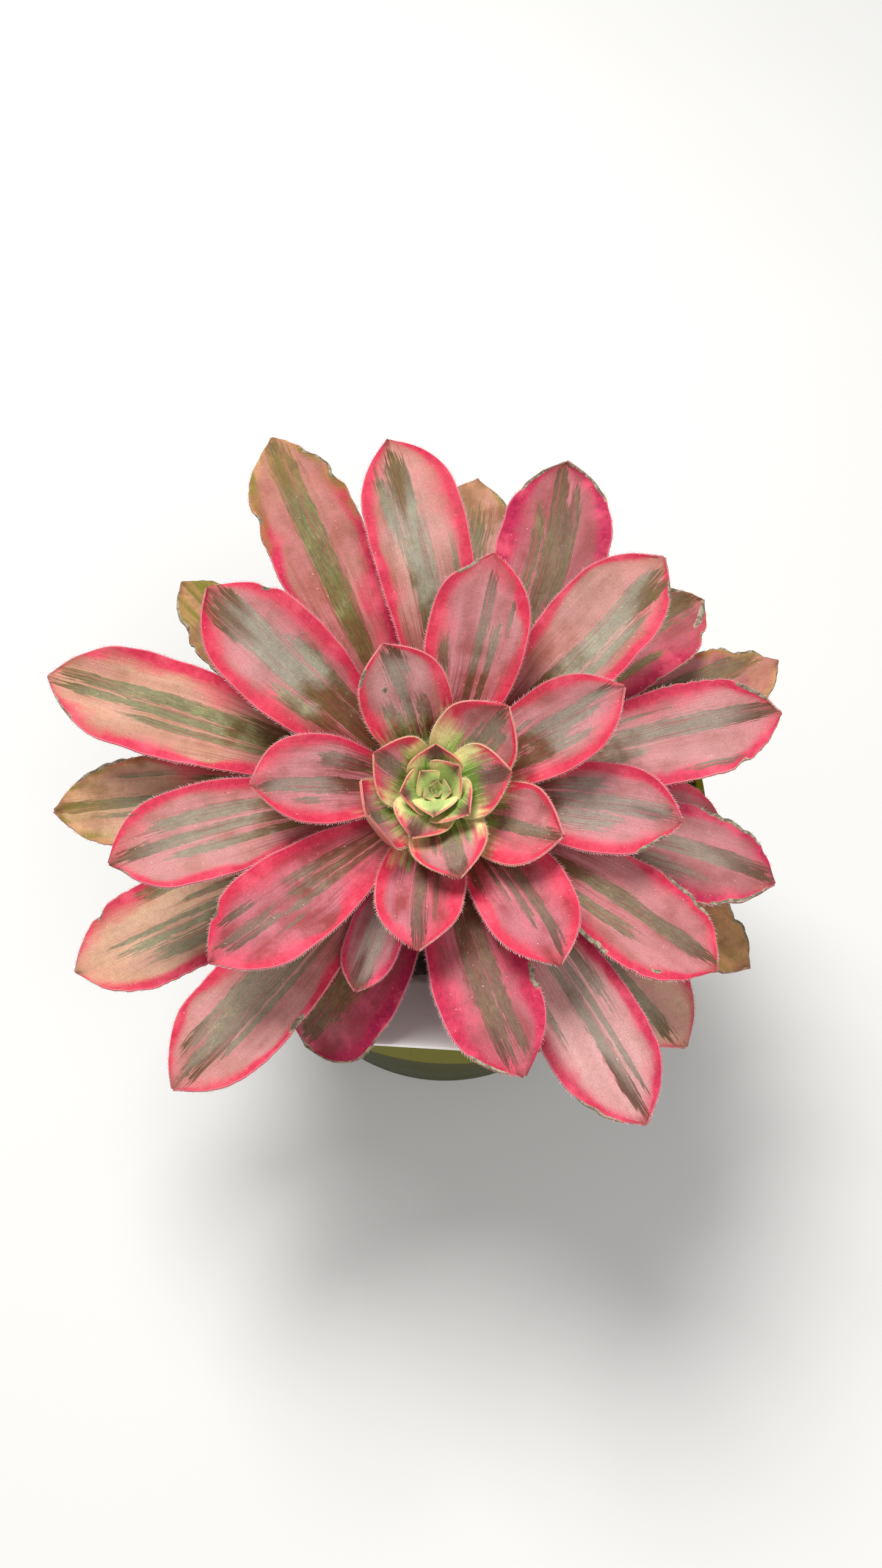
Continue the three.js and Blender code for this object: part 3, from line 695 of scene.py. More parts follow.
MARKS = {
    5: {"deep": 0.15, "bands": [(0.0, 0.25, 0.62, 1.0)]},
    6: {"deep": 0.1, "bands": [(0.0, 0.3, 0.66, 1.0)]},
    7: {"deep": 0.15, "bands": [(0.0, 0.3, 0.6, 1.0)]},
    8: {"olive": 0.4, "silver": 0.4, "deep": 0.1, "right": 0.5,
        "bands": [(0.02, 0.2, 0.35, 1.0), (0.3, 0.07, 0.3, 0.7), (-0.3, 0.07, 0.3, 0.65)]},
    9: {"deep": 0.15, "bands": [(0.05, 0.24, 0.5, 1.0)]},
    10: {"deep": 0.15, "bands": [(0.05, 0.26, 0.3, 1.0), (-0.4, 0.1, 0.35, 0.7), (0.5, 0.08, 0.35, 0.7)]},
    11: {"olive": 0.4, "deep": 0.1, "left": 0.5, "right": 0.36,
         "bands": [(-0.05, 0.16, 0.3, 0.97), (-0.35, 0.12, 0.3, 0.85), (0.16, 0.05, 0.3, 0.8)]},
    12: {"olive": 0.5, "deep": 0.2, "left": 0.3, "right": 0.3, "bands": [(0.0, 0.2, 0.2, 0.8)]},
    13: {"deep": 0.1, "left": 0.5, "right": 0.55,
         "bands": [(-0.02, 0.17, 0.35, 0.97), (0.35, 0.07, 0.2, 0.5)]},
    14: {"silver": 0.7, "deep": 0.1, "left": 0.3, "pale": 0.5,
         "bands": [(0.4, 0.2, 0.22, 0.62), (0.0, 0.15, 0.2, 0.85), (-0.35, 0.15, 0.2, 0.6),
                   (-0.05, 0.26, 0.72, 0.96)],
         "cork": [(0.72, 0.35, 0.0011, 0.0008), (0.85, 0.97, 0.0020, 0.0008)]},
    15: {"olive": 0.1, "silver": 0.2, "deep": 0.2, "left": 0.5, "right": 0.45, "pale": 0.0,
         "bands": [(0.0, 0.17, 0.12, 0.98), (0.36, 0.06, 0.3, 0.8), (-0.36, 0.09, 0.15, 0.5)]},
    16: {"olive": 0.3, "silver": 0.8, "deep": 0.15, "left": 0.4,
         "bands": [(0.18, 0.11, 0.25, 0.97), (-0.06, 0.07, 0.1, 0.88), (-0.34, 0.18, 0.1, 0.68),
                   (-0.45, 0.1, 0.6, 0.76), (0.45, 0.05, 0.25, 0.55)]},
    17: {"olive": 0.1, "silver": 0.6, "deep": 0.2,
         "bands": [(0.1, 0.17, 0.1, 0.97), (-0.48, 0.18, 0.3, 0.6), (0.45, 0.1, 0.6, 0.76)]},
    18: {"olive": 0.1, "silver": 0.2, "deep": 0.2, "left": 0.45, "right": 0.5, "pale": 0.0,
         "bands": [(0.18, 0.13, 0.1, 0.96), (-0.1, 0.06, 0.1, 0.8), (-0.3, 0.05, 0.15, 0.6),
                   (-0.74, 0.12, 0.3, 0.5), (0.6, 0.05, 0.3, 0.45)]},
    19: {"olive": 0.25, "silver": 0.5, "deep": 0.15, "left": 0.45, "right": 0.4,
         "bands": [(-0.07, 0.11, 0.1, 0.92), (-0.34, 0.09, 0.1, 0.7), (0.6, 0.11, 0.4, 0.6),
                   (-0.58, 0.05, 0.7, 0.84)],
         "nicks": [(0.93, 1, 0.0010)], "cork": [(0.93, 0.95, 0.0026, 0.0009)]},
    20: {"olive": 0.15, "silver": 0.3, "deep": 0.25, "left": 0.45, "right": 0.5, "pale": 0.0,
         "bands": [(-0.34, 0.12, 0.2, 0.62), (-0.06, 0.13, 0.15, 0.64), (0.16, 0.08, 0.2, 0.68),
                   (-0.1, 0.09, 0.72, 0.95), (0.08, 0.08, 0.68, 0.92), (-0.45, 0.09, 0.76, 0.92),
                   (0.38, 0.05, 0.6, 0.74)],
         "nicks": [(0.88, -1, 0.0008)], "cork": [(0.88, -1.0, 0.0022, 0.0007)]},
    21: {"olive": 0.1, "silver": 0.8, "deep": 0.3, "left": 0.3, "right": 0.36,
         "bands": [(0.52, 0.13, 0.0, 0.66), (0.12, 0.21, 0.0, 0.96), (-0.28, 0.21, 0.0, 0.74)],
         "cork": [(0.9, -0.97, 0.0034, 0.0010)], "nicks": [(0.93, -1, 0.0009)]},
    22: {"olive": 0.6, "silver": 0.9, "deep": 0.2, "left": 0.36, "right": 0.36, "pale": 0.25,
         "bands": [(0.0, 0.3, 0.1, 0.98), (-0.44, 0.14, 0.25, 0.68), (0.5, 0.15, 0.36, 0.6),
                   (0.32, 0.08, 0.8, 0.95)],
         "nicks": [(0.86, -1, 0.0012)]},
    23: {"olive": 0.15, "silver": 0.15, "deep": 0.7, "left": 0.45, "right": 0.4, "pale": 0.15,
         "bands": [(-0.1, 0.18, 0.05, 0.96), (0.24, 0.14, 0.25, 0.95), (0.6, 0.05, 0.3, 0.6)],
         "cork": [(0.71, 0.97, 0.0042, 0.0010), (0.92, -0.98, 0.0040, 0.0008)],
         "nicks": [(0.72, 1, 0.0008)]},
    24: {"olive": 0.7, "silver": 0.8, "deep": 0.3, "left": 0.3, "right": 0.26, "pale": 0.5,
         "bands": [(-0.18, 0.24, 0.0, 0.97), (-0.55, 0.1, 0.45, 0.82), (-0.45, 0.06, 0.84, 0.95),
                   (0.12, 0.07, 0.0, 0.5)],
         "cork": [(0.93, -0.98, 0.0018, 0.0006)]},
    25: {"olive": 0.5, "silver": 0.6, "deep": 0.3, "left": 0.36, "right": 0.36, "pale": 0.45,
         "bands": [(-0.36, 0.14, 0.1, 0.86), (0.0, 0.14, 0.15, 1.0), (0.32, 0.11, 0.3, 0.82),
                   (-0.75, 0.08, 0.9, 0.97)],
         "nicks": [(0.97, 1, 0.0010)]},
    26: {"olive": 0.4, "silver": 0.25, "deep": 0.4, "left": 0.34, "right": 0.36, "ragged": 0.0003,
         "bands": [(0.1, 0.17, 0.0, 0.98), (-0.36, 0.15, 0.05, 0.72)],
         "cork": [(0.8, 1.0, 0.0085, 0.0010), (0.62, -0.98, 0.0075, 0.0010), (0.86, -0.8, 0.0011, 0.0008)],
         "nicks": [(0.84, 1, 0.0008), (0.66, -1, 0.0006)]},
    27: {"olive": 0.75, "silver": 0.9, "deep": 0.3, "left": 0.36, "right": 0.34, "pale": 0.5,
         "bands": [(0.08, 0.26, 0.0, 0.97), (-0.62, 0.07, 0.48, 0.66), (-0.76, 0.04, 0.3, 0.5),
                   (0.48, 0.12, 0.72, 0.9)]},
    28: {"olive": 0.1, "silver": 0.7, "deep": 0.75, "left": 0.3, "right": 0.3, "pale": 0.0,
         "bands": [(0.0, 0.4, 0.1, 1.0)]},
    29: {"olive": 0.3, "silver": 0.75, "deep": 0.5, "left": 0.36, "right": 0.3, "pale": 0.4,
         "ragged": 0.0005,
         "bands": [(0.15, 0.2, 0.1, 1.0), (-0.2, 0.15, 0.0, 0.6), (-0.76, 0.08, 0.72, 0.84),
                   (0.56, 0.05, 0.45, 0.66)],
         "cork": [(0.93, 0.97, 0.0040, 0.0009)], "nicks": [(0.86, -1, 0.0009)]},
    30: {"olive": 1.0, "silver": 0.3, "deep": 0.3, "left": 0.34, "right": 0.38, "pale": 0.7, "dry": 0.1,
         "bands": [(-0.17, 0.13, 0.08, 0.98), (0.09, 0.11, 0.05, 0.98), (0.33, 0.07, 0.3, 0.76),
                   (-0.4, 0.05, 0.1, 0.5)],
         "cork": [(0.93, 0.98, 0.0040, 0.0007)]},
    31: {"olive": 0.2, "silver": 0.7, "deep": 0.6, "left": 0.3, "right": 0.26, "pale": 0.9,
         "ragged": 0.0003,
         "bands": [(0.06, 0.13, 0.0, 0.98), (0.3, 0.05, 0.2, 0.95), (-0.55, 0.07, 0.2, 0.7),
                   (0.56, 0.12, 0.45, 0.7)],
         "cork": [(0.9, -1.0, 0.0060, 0.0007)], "nicks": [(0.9, -1, 0.0008)]},
    32: {"olive": 0.45, "silver": 0.15, "deep": 0.95, "left": 0.4, "right": 0.36, "pale": 0.15,
         "ragged": 0.0003,
         "bands": [(0.34, 0.1, 0.15, 0.86), (0.05, 0.15, 0.05, 0.99), (-0.25, 0.11, 0.1, 0.92),
                   (-0.52, 0.09, 0.1, 0.62)],
         "cork": [(0.94, 0.97, 0.0060, 0.0007), (0.94, -0.97, 0.0060, 0.0007)]},
    33: {"olive": 0.5, "silver": 0.5, "deep": 0.25, "left": 0.36, "right": 0.34, "pale": 0.45,
         "ragged": 0.0002, "dry": 0.1,
         "bands": [(-0.34, 0.14, 0.2, 0.9), (-0.07, 0.1, 0.1, 0.98), (0.13, 0.08, 0.1, 0.95),
                   (0.3, 0.07, 0.15, 0.86)],
         "cork": [(0.66, 0.95, 0.0032, 0.0010)]},
    34: {"olive": 0.25, "silver": 0.6, "deep": 0.85, "left": 0.34, "right": 0.3, "pale": 0.25,
         "ragged": 0.0006,
         "bands": [(0.1, 0.18, 0.15, 1.0), (-0.36, 0.16, 0.15, 0.78), (0.5, 0.08, 0.3, 0.5)],
         "cork": [(0.82, 0.99, 0.0100, 0.0008), (0.9, -0.97, 0.0080, 0.0011)],
         "nicks": [(0.86, 1, 0.0008), (0.88, -1, 0.0010)]},
    35: {"olive": 1.0, "silver": 0.1, "deep": 0.55, "left": 0.42, "right": 0.4, "pale": 0.3,
         "ragged": 0.0004, "dry": 0.2,
         "bands": [(0.0, 0.26, 0.0, 1.0)],
         "cork": [(0.88, -1.0, 0.0070, 0.0007)],
         "nicks": [(0.8, 1, 0.0016), (0.84, -1, 0.0014), (0.93, -1, 0.0012)]},
    37: {"olive": 0.6, "silver": 0.2, "deep": 0.8, "left": 0.1, "right": 0.6, "pale": 0.1,
         "ragged": 0.0006, "dry": 0.12,
         "bands": [(0.36, 0.55, 0.0, 1.0), (-0.5, 0.08, 0.5, 0.75)],
         "cork": [(0.95, -0.6, 0.0050, 0.0011)],
         "nicks": [(0.93, 1, 0.0018), (0.9, -1, 0.0012)]},
    38: {"olive": 1.0, "silver": 0.4, "deep": 0.4, "left": 0.1, "right": 0.36, "pale": 0.9,
         "ragged": 0.0004, "dry": 0.2,
         "bands": [(-0.02, 0.15, 0.3, 1.0), (0.25, 0.06, 0.4, 0.9), (-0.6, 0.08, 0.7, 0.82),
                   (-0.5, 0.06, 0.48, 0.62)],
         "cork": [(0.86, -0.98, 0.0090, 0.0008)]},
    39: {"olive": 0.7, "silver": 0.6, "deep": 0.5, "left": 0.2, "right": 0.2, "pale": 1.0,
         "ragged": 0.0003, "dry": 0.1,
         "bands": [(-0.14, 0.16, 0.0, 0.97), (0.3, 0.06, 0.2, 0.6)]},
    40: {"olive": 0.8, "silver": 0.2, "deep": 0.7, "left": 0.2, "right": 0.4, "pale": 0.6, "dry": 0.2,
         "bands": [(0.1, 0.5, 0.1, 0.9)], "cork": [(0.92, -1.0, 0.0070, 0.0008)]},
    41: {"olive": 0.4, "silver": 0.0, "deep": 1.0, "left": 0.8, "right": 0.1, "pale": 0.0,
         "bands": [(-0.3, 0.55, 0.0, 0.95)],
         "cork": [(0.86, 1.0, 0.0140, 0.0006), (0.99, 0.0, 0.0012, 0.0100)]},
    42: {"olive": 0.4, "silver": 0.2, "deep": 0.6, "left": 0.2, "right": 0.4, "pale": 0.3,
         "dry": 0.2, "ragged": 0.0009,
         "bands": [(0.4, 0.26, 0.15, 0.96), (0.0, 0.15, 0.15, 0.85)],
         "cork": [(0.92, 0.98, 0.0070, 0.0009)],
         "nicks": [(0.9, 1, 0.0018), (0.8, -1, 0.0012)]},
    43: {"olive": 1.0, "silver": 0.1, "deep": 0.4, "left": 0.1, "right": 0.1, "pale": 0.5,
         "dry": 0.7, "ragged": 0.0009,
         "bands": [(0.0, 0.75, 0.1, 1.0)],
         "cork": [(0.9, 1.0, 0.0080, 0.0010)], "nicks": [(0.86, 1, 0.0018)]},
    46: {"olive": 0.9, "silver": 0.5, "deep": 0.35, "left": 0.36, "right": 0.25, "pale": 1.0,
         "ragged": 0.0004, "dry": 0.1,
         "bands": [(0.42, 0.17, 0.4, 0.78), (-0.1, 0.06, 0.15, 0.9), (0.12, 0.1, 0.1, 0.85),
                   (-0.36, 0.07, 0.15, 0.66), (-0.76, 0.13, 0.56, 0.76)],
         "nicks": [(0.88, -1, 0.0010)]},
    47: {"olive": 0.15, "silver": 0.1, "deep": 0.5, "left": 0.1, "right": 0.1, "pale": 0.4,
         "dry": 0.9, "ragged": 0.0009,
         "bands": [(0.0, 0.7, 0.1, 1.0)],
         "cork": [(0.88, 0.98, 0.0080, 0.0009)], "nicks": [(0.88, 1, 0.0014), (0.85, -1, 0.0014)]},
    48: {"olive": 0.4, "silver": 0.2, "deep": 0.4, "left": 0.1, "right": 0.1, "pale": 0.2,
         "dry": 0.75, "bands": [(0.0, 0.6, 0.1, 1.0)]},
    55: {"olive": 0.2, "silver": 0.2, "deep": 0.4, "pale": 0.2, "dry": 0.1, "ragged": 0.0004},
}


def between(low, high, share):
    return low + (high - low) * share


def eased(low, high, value):
    """0 up to low, 1 from high, and a smooth rise between them."""
    share = unit((value - low) / (high - low))
    return share * share * (3 - 2 * share)


def leaf_rise(n):
    """How far a leaf rises from square to the stem, in degrees. It falls with age."""
    return RISE_LOWEST + RISE_SPAN * math.exp(-n / RISE_AGE)


def leaf_height(n):
    """How far below the growing tip a leaf grows from the stem."""
    return min(n, HEART_LEAVES) * HEART_SPACING + max(0, n - HEART_LEAVES) * LEAF_SPACING


class Leaf:
    """One leaf's form: where it stands, its rib, and its reach to either side of the rib."""

    def __init__(self, n):
        self.n = n
        self.length, self.width, ways = GROWTH[n]
        self.sway = ways.get("sway", 0)
        self.lift = ways.get("lift", 0)
        self.curl = ways.get("curl", 0)
        self.marks = {**PLAIN, **MARKS.get(n, {})}
        self.grown = unit(n / MATURE)
        self.youth = max(0, 1 - n / GREEN_BASES)
        self.widest = between(YOUNG["widest"], MATURED["widest"], self.grown)
        self.hollow = between(YOUNG["hollow"], MATURED["hollow"], self.grown)
        self.bluntness = between(YOUNG["bluntness"], MATURED["bluntness"], self.grown)
        self.half = self.width / 2
        waist = between(YOUNG["waist"], MATURED["waist"], self.grown)
        self.waist = max(BASE_HALF_WIDTH / self.half, waist)
        self.base = min(BASE_HALF_WIDTH, self.half * SMALLEST_BASE)
        self.margin = MARGIN_THICKNESS * between(YOUNG_MARGIN, 1, unit(n / HEART_LEAVES))
        self.rib = self.grown_rib()
        self.place = self.placed(math.radians(SPIRAL_START + GOLDEN_ANGLE * n + ways.get("turn", 0)))

    def placed(self, azimuth):
        """The leaf's own frame: its base at the origin, the blade along +X, on the stem."""
        height = leaf_height(self.n)
        if self.n < HEART_LEAVES:
            root = min(1, max(INNERMOST_ROOT, self.n / TIGHT_LEAVES)) * HEART_ROOT_RADIUS
            stand = stem_frame(0) @ Matrix.Translation((0, 0, -height))
        else:
            root = stem_radius(height) + ROOT_GAP
            stand = stem_frame(height)
        return stand @ Matrix.Rotation(azimuth, 4, "Z") @ Matrix.Translation((root, 0, 0))

    def slope(self, u):
        """The rib's rise at u, in radians."""
        curled = unit((u - CURL_FROM) / CURL_OVER)
        return math.radians(leaf_rise(self.n) + self.lift + ARCH * (0.5 - u) + self.curl * curled)

    def heading(self, u):
        """The rib's turn to the side at u, in radians."""
        return math.radians(self.sway * (0.5 - u))

    def grown_rib(self):
        """Points of the rib from the base to the tip."""
        step = self.length / RIB_STEPS
        points = [Vector((0, 0, 0))]
        for i in range(RIB_STEPS):
            u = (i + 0.5) / RIB_STEPS
            forward = step * math.cos(self.slope(u))
            across = Vector((math.cos(self.heading(u)), math.sin(self.heading(u)), 0))
            points.append(points[-1] + across * forward + Vector((0, 0, step * math.sin(self.slope(u)))))
        return points

    def on_rib(self, u):
        place = min(u, RIB_END) * RIB_STEPS
        i = int(place)
        return self.rib[i].lerp(self.rib[i + 1], place - i)

    def opened(self, u):
        """0 at the base, 1 from where the base has opened into the blade."""
        return min(1, u / (OPENS_OVER * self.widest))

    def reach(self, u):
        """Half the blade's width at u: a narrow base, a spoon, a point."""
        if u < self.widest:
            share = between(self.waist, 1, eased(0, self.widest, u))
        else:
            share = 1 - ((u - self.widest) / (1 - self.widest)) ** self.bluntness
        return max(TIP_HALF_WIDTH, between(self.base, self.half * share, self.opened(u)))

    def thickness(self, u, v):
        """The blade's thickness, thin at the margins and thinnest on the young leaves."""
        rib = between(BASE_THICKNESS, BLADE_THICKNESS, min(1, u / self.widest))
        rib = max(self.margin, min(rib, (self.margin + self.reach(u)) * THICKEST_SHARE))
        rib *= between(YOUNG_THINNESS, 1, self.margin / MARGIN_THICKNESS)
        return between(rib, self.margin, v * v)

    def drift(self, u, per_metre, across, shift):
        """Smooth noise along the leaf, from about -1 to 1. No two leaves have the same."""
        return noise.noise(Vector((u * self.length * per_metre, across, self.n * shift)))

    def cut(self, u, side):
        """How much is missing from a margin there, in metres."""
        missing = 0
        for where, bitten, depth in self.marks["nicks"]:
            if bitten == side:
                away = abs(u - where) * self.length
                missing += depth * math.exp(-((away / (NICK_BREADTH * depth)) ** 2))
        rags = max(0, self.drift(u, RAGS_PER_METRE, 7.0 * side, 3.7) + 0.15)
        missing += self.marks["ragged"] * eased(0.5, 0.8, u) * rags * 1.6
        wander = self.drift(u, WANDERS_PER_METRE, 3.0 * side, 1.9)
        return missing + self.reach(u) * WANDER * (wander + 0.5)

    def point(self, u, v):
        """A point on the blade's middle surface, in its own frame."""
        slope = self.slope(u)
        heading = self.heading(u)
        reach = self.reach(u)
        facing = math.copysign(1, v)
        side = v * reach - math.copysign(abs(v) ** 3 * self.cut(u, facing), v)
        up = self.hollow * between(BASE_HOLLOW, 1, self.opened(u)) * reach * v * v
        wave = self.drift(u, WAVES_PER_METRE, v * 1.1, 5.3)
        frill = self.drift(u, FRILLS_PER_METRE, 2.0 * facing, 2.3)
        wavy = eased(0.1, 0.5, u) * min(1, self.width / WAVY_WIDTH)
        up += wavy * (WAVE_HEIGHT * wave + FRILL_HEIGHT * frill * abs(v) ** 3 * self.grown)
        groove = math.exp(-((v / GROOVE_BREADTH) ** 2)) * (1 - eased(0.6, 1.0, u)) * self.grown
        up -= GROOVE_DEPTH * groove
        back = up * math.sin(slope)
        return self.on_rib(u) + Vector(
            (
                -back * math.cos(heading) - side * math.sin(heading),
                -back * math.sin(heading) + side * math.cos(heading),
                up * math.cos(slope),
            )
        )

    def narrowed(self, u):
        """How far the blade narrows to its tip. The stripes don't: they run on side by side."""
        return self.reach(u) / self.half if u > self.widest else 1

    def banded(self, u, v):
        """How far the point is inside the dark bands: 0.5 on a band's edge."""
        inside = 0
        for middle, breadth, start, end in self.marks["bands"]:
            beside = 1 - eased(SOFT_FROM, SOFT_TO, abs(v * self.narrowed(u) - middle) / breadth)
            started = eased(start - BAND_STARTS_OVER, start + BAND_STARTS_OVER, u)
            ended = 1 - eased(end - BAND_ENDS_OVER, end + BAND_ENDS_OVER, u)
            inside = max(inside, beside * started * ended)
        return inside

    def rosy(self, u, v):
        """How far the point is inside the hot pink margin: 0.5 at its end. A dried tip has none."""
        margin = self.marks["left"] if v > 0 else self.marks["right"]
        wander = self.drift(u, WAVES_PER_METRE, 4.0 * math.copysign(1, v), 6.1)
        margin *= max(0.2, 1 + 1.3 * wander)
        dried = min(1, 4 * self.marks["dry"]) * eased(0.72, 0.95, u)
        inside = (1 - abs(v)) * self.narrowed(u)
        return (1 - eased(SOFT_FROM * margin, SOFT_TO * margin, inside)) * (1 - dried)

    def scarred(self, u, v):
        """1 in a corky scar or beside a nick, 0 away from them."""
        reach = self.reach(u)
        worst = min(1, self.marks["ragged"] * 900) * eased(0.97, 1.0, abs(v)) * eased(0.5, 0.7, u)
        for where, side, long, broad in self.marks["cork"]:
            away = math.hypot((u - where) * self.length / long, (v - side) * reach / broad)
            worst = max(worst, 1 - eased(0.5, 1.5, away))
        for where, side, depth in self.marks["nicks"]:
            away = math.hypot((u - where) * self.length, (v - side) * reach)
            worst = max(worst, 1 - eased(0.5, 1.5, away / depth))
        return worst


def blade(leaf):
    """The blade as one grid, bent to the leaf's form and given its thickness."""
    rows = max(FEWEST_ROWS, round(leaf.length / ROW_LENGTH))
    columns = COLUMNS if leaf.n >= TIGHT_LEAVES else COLUMNS // 2
    bpy.ops.mesh.primitive_grid_add(x_subdivisions=rows, y_subdivisions=columns, size=1)
    piece = bpy.context.object
    mesh = piece.data
    mesh.uv_layers[0].name = "blade"
    thick = piece.vertex_groups.new(name="thickness")
    for vertex in mesh.vertices:
        u = vertex.co.x + 0.5
        v = 2 * vertex.co.y
        thick.add([vertex.index], leaf.thickness(u, v) / BASE_THICKNESS, "REPLACE")
        vertex.co = leaf.place @ leaf.point(u, v)
    solid = piece.modifiers.new("thickness", "SOLIDIFY")
    solid.thickness = BASE_THICKNESS
    solid.offset = 0
    solid.vertex_group = "thickness"
    bpy.ops.object.modifier_apply(modifier=solid.name)
    piece.vertex_groups.clear()
    return smoothed(piece, 60)


def write_numbers(mesh, name, numbers):
    """Writes numbers on a mesh, one for each of its corners, for the material to read."""
    mesh.attributes.new(name, "FLOAT", "POINT").data.foreach_set("value", numbers)


def mark_blade(leaf, mesh):
    """Writes on a blade how it is marked at each of its corners. Its lower side comes second."""
    where = {}
    for loop in mesh.loops:
        where[loop.vertex_index] = mesh.uv_layers["blade"].data[loop.index].uv
    under_from = len(mesh.vertices) // 2
    values = {name: [] for name in ("across", "band", "rose", "cork", "under", "tip")}
    for vertex in mesh.vertices:
        u, across = where[vertex.index]
        v = 2 * across - 1
        values["across"].append(0.5 + v / 2 * leaf.narrowed(u))
        values["band"].append(leaf.banded(u, v))
        values["rose"].append(leaf.rosy(u, v))
        values["cork"].append(leaf.scarred(u, v))
        values["under"].append(1.0 if vertex.index >= under_from else 0.0)
        values["tip"].append(1 - eased(0, TIP_SPOT, (1 - u) * leaf.length))
    count = len(mesh.vertices)
    for name in ("olive", "silver", "deep", "pale", "dry"):
        values[name] = [leaf.marks[name]] * count
    values["youth"] = [leaf.youth] * count
    values["seed"] = [leaf.n * 7.31 % 50] * count
    values["hair"] = [0.0] * count
    for name, numbers in values.items():
        write_numbers(mesh, name, numbers)


def hair_shape():
    """One marginal hair: a short three-sided bristle, cut across once so that it can bend."""
    bpy.ops.mesh.primitive_cone_add(vertices=3, radius1=1, depth=1, location=(0, 0, 0.5))
    hair = bpy.context.object
    bpy.ops.object.mode_set(mode="EDIT")
    bpy.ops.mesh.select_all(action="SELECT")
    bpy.ops.mesh.bisect(plane_co=(0, 0, HAIR_BEND_AT), plane_no=(0, 0, 1))
    bpy.ops.object.mode_set(mode="OBJECT")
    bpy.ops.object.transform_apply(location=True)
    shape = hair.data
    bpy.data.objects.remove(hair)
    return shape


def margin_frame(leaf, u, side):
    """A point of a margin, the ways onward, outward and up from it, and its metres for each u."""
    edge = leaf.point(u, side)
    run = leaf.point(u + ALONG_STEP, side) - edge
    onward = run.normalized()
    inward = leaf.point(u, side * (1 - INWARD_STEP)) - edge
    outward = -(inward - onward * inward.dot(onward)).normalized()
    above = outward.cross(onward) * side
    if above.z < 0:
        above = -above
    return edge, onward, outward, above, run.length / ALONG_STEP


def margin_hairs(leaf, shape):
    """Hairs along both margins of a leaf, slanting to its tip, in one mesh."""
    draw = random.Random(100 + leaf.n)
    small = between(SMALLEST_HAIRS, 1, eased(SMALL_LEAF_WIDTH, LARGE_LEAF_WIDTH, leaf.width))
    thick = HAIR_RADIUS * small
    sunk = HAIR_SUNK * small
    heap = Heap()
    for side in (1, -1):
        u = HAIRS_FROM
        while u < HAIRS_TO:
            edge, onward, outward, above, gained = margin_frame(leaf, u, side)
            slant = onward * draw.uniform(0.15, 0.8) + above * draw.uniform(-0.25, 0.35)
            worn = leaf.marks["dry"] * 0.8 + leaf.scarred(u, side) * 0.8
            if draw.random() > worn:
                long = HAIR_LENGTH * small * draw.uniform(0.6, 1.2)
                turn = Vector((0, 0, 1)).rotation_difference((outward + slant).normalized())
                corners = []
                for vertex in shape.vertices:
                    x, y, z = vertex.co
                    bent = turn @ Vector((x * thick, y * thick, z * (long + sunk) - sunk))
                    bent += onward * (0.25 * long * z * z)
                    corners.append(leaf.place @ (edge + bent))
                heap.add(shape, corners)
            u += HAIR_SPACING * small * draw.uniform(0.6, 1.4) / gained
    hairs = heap.piece(f"leaf_hairs_{leaf.n:02d}")
    for name, value in {"hair": 1.0, "youth": leaf.youth, "dry": leaf.marks["dry"]}.items():
        write_numbers(hairs.data, name, [value] * len(heap.points))
    return hairs


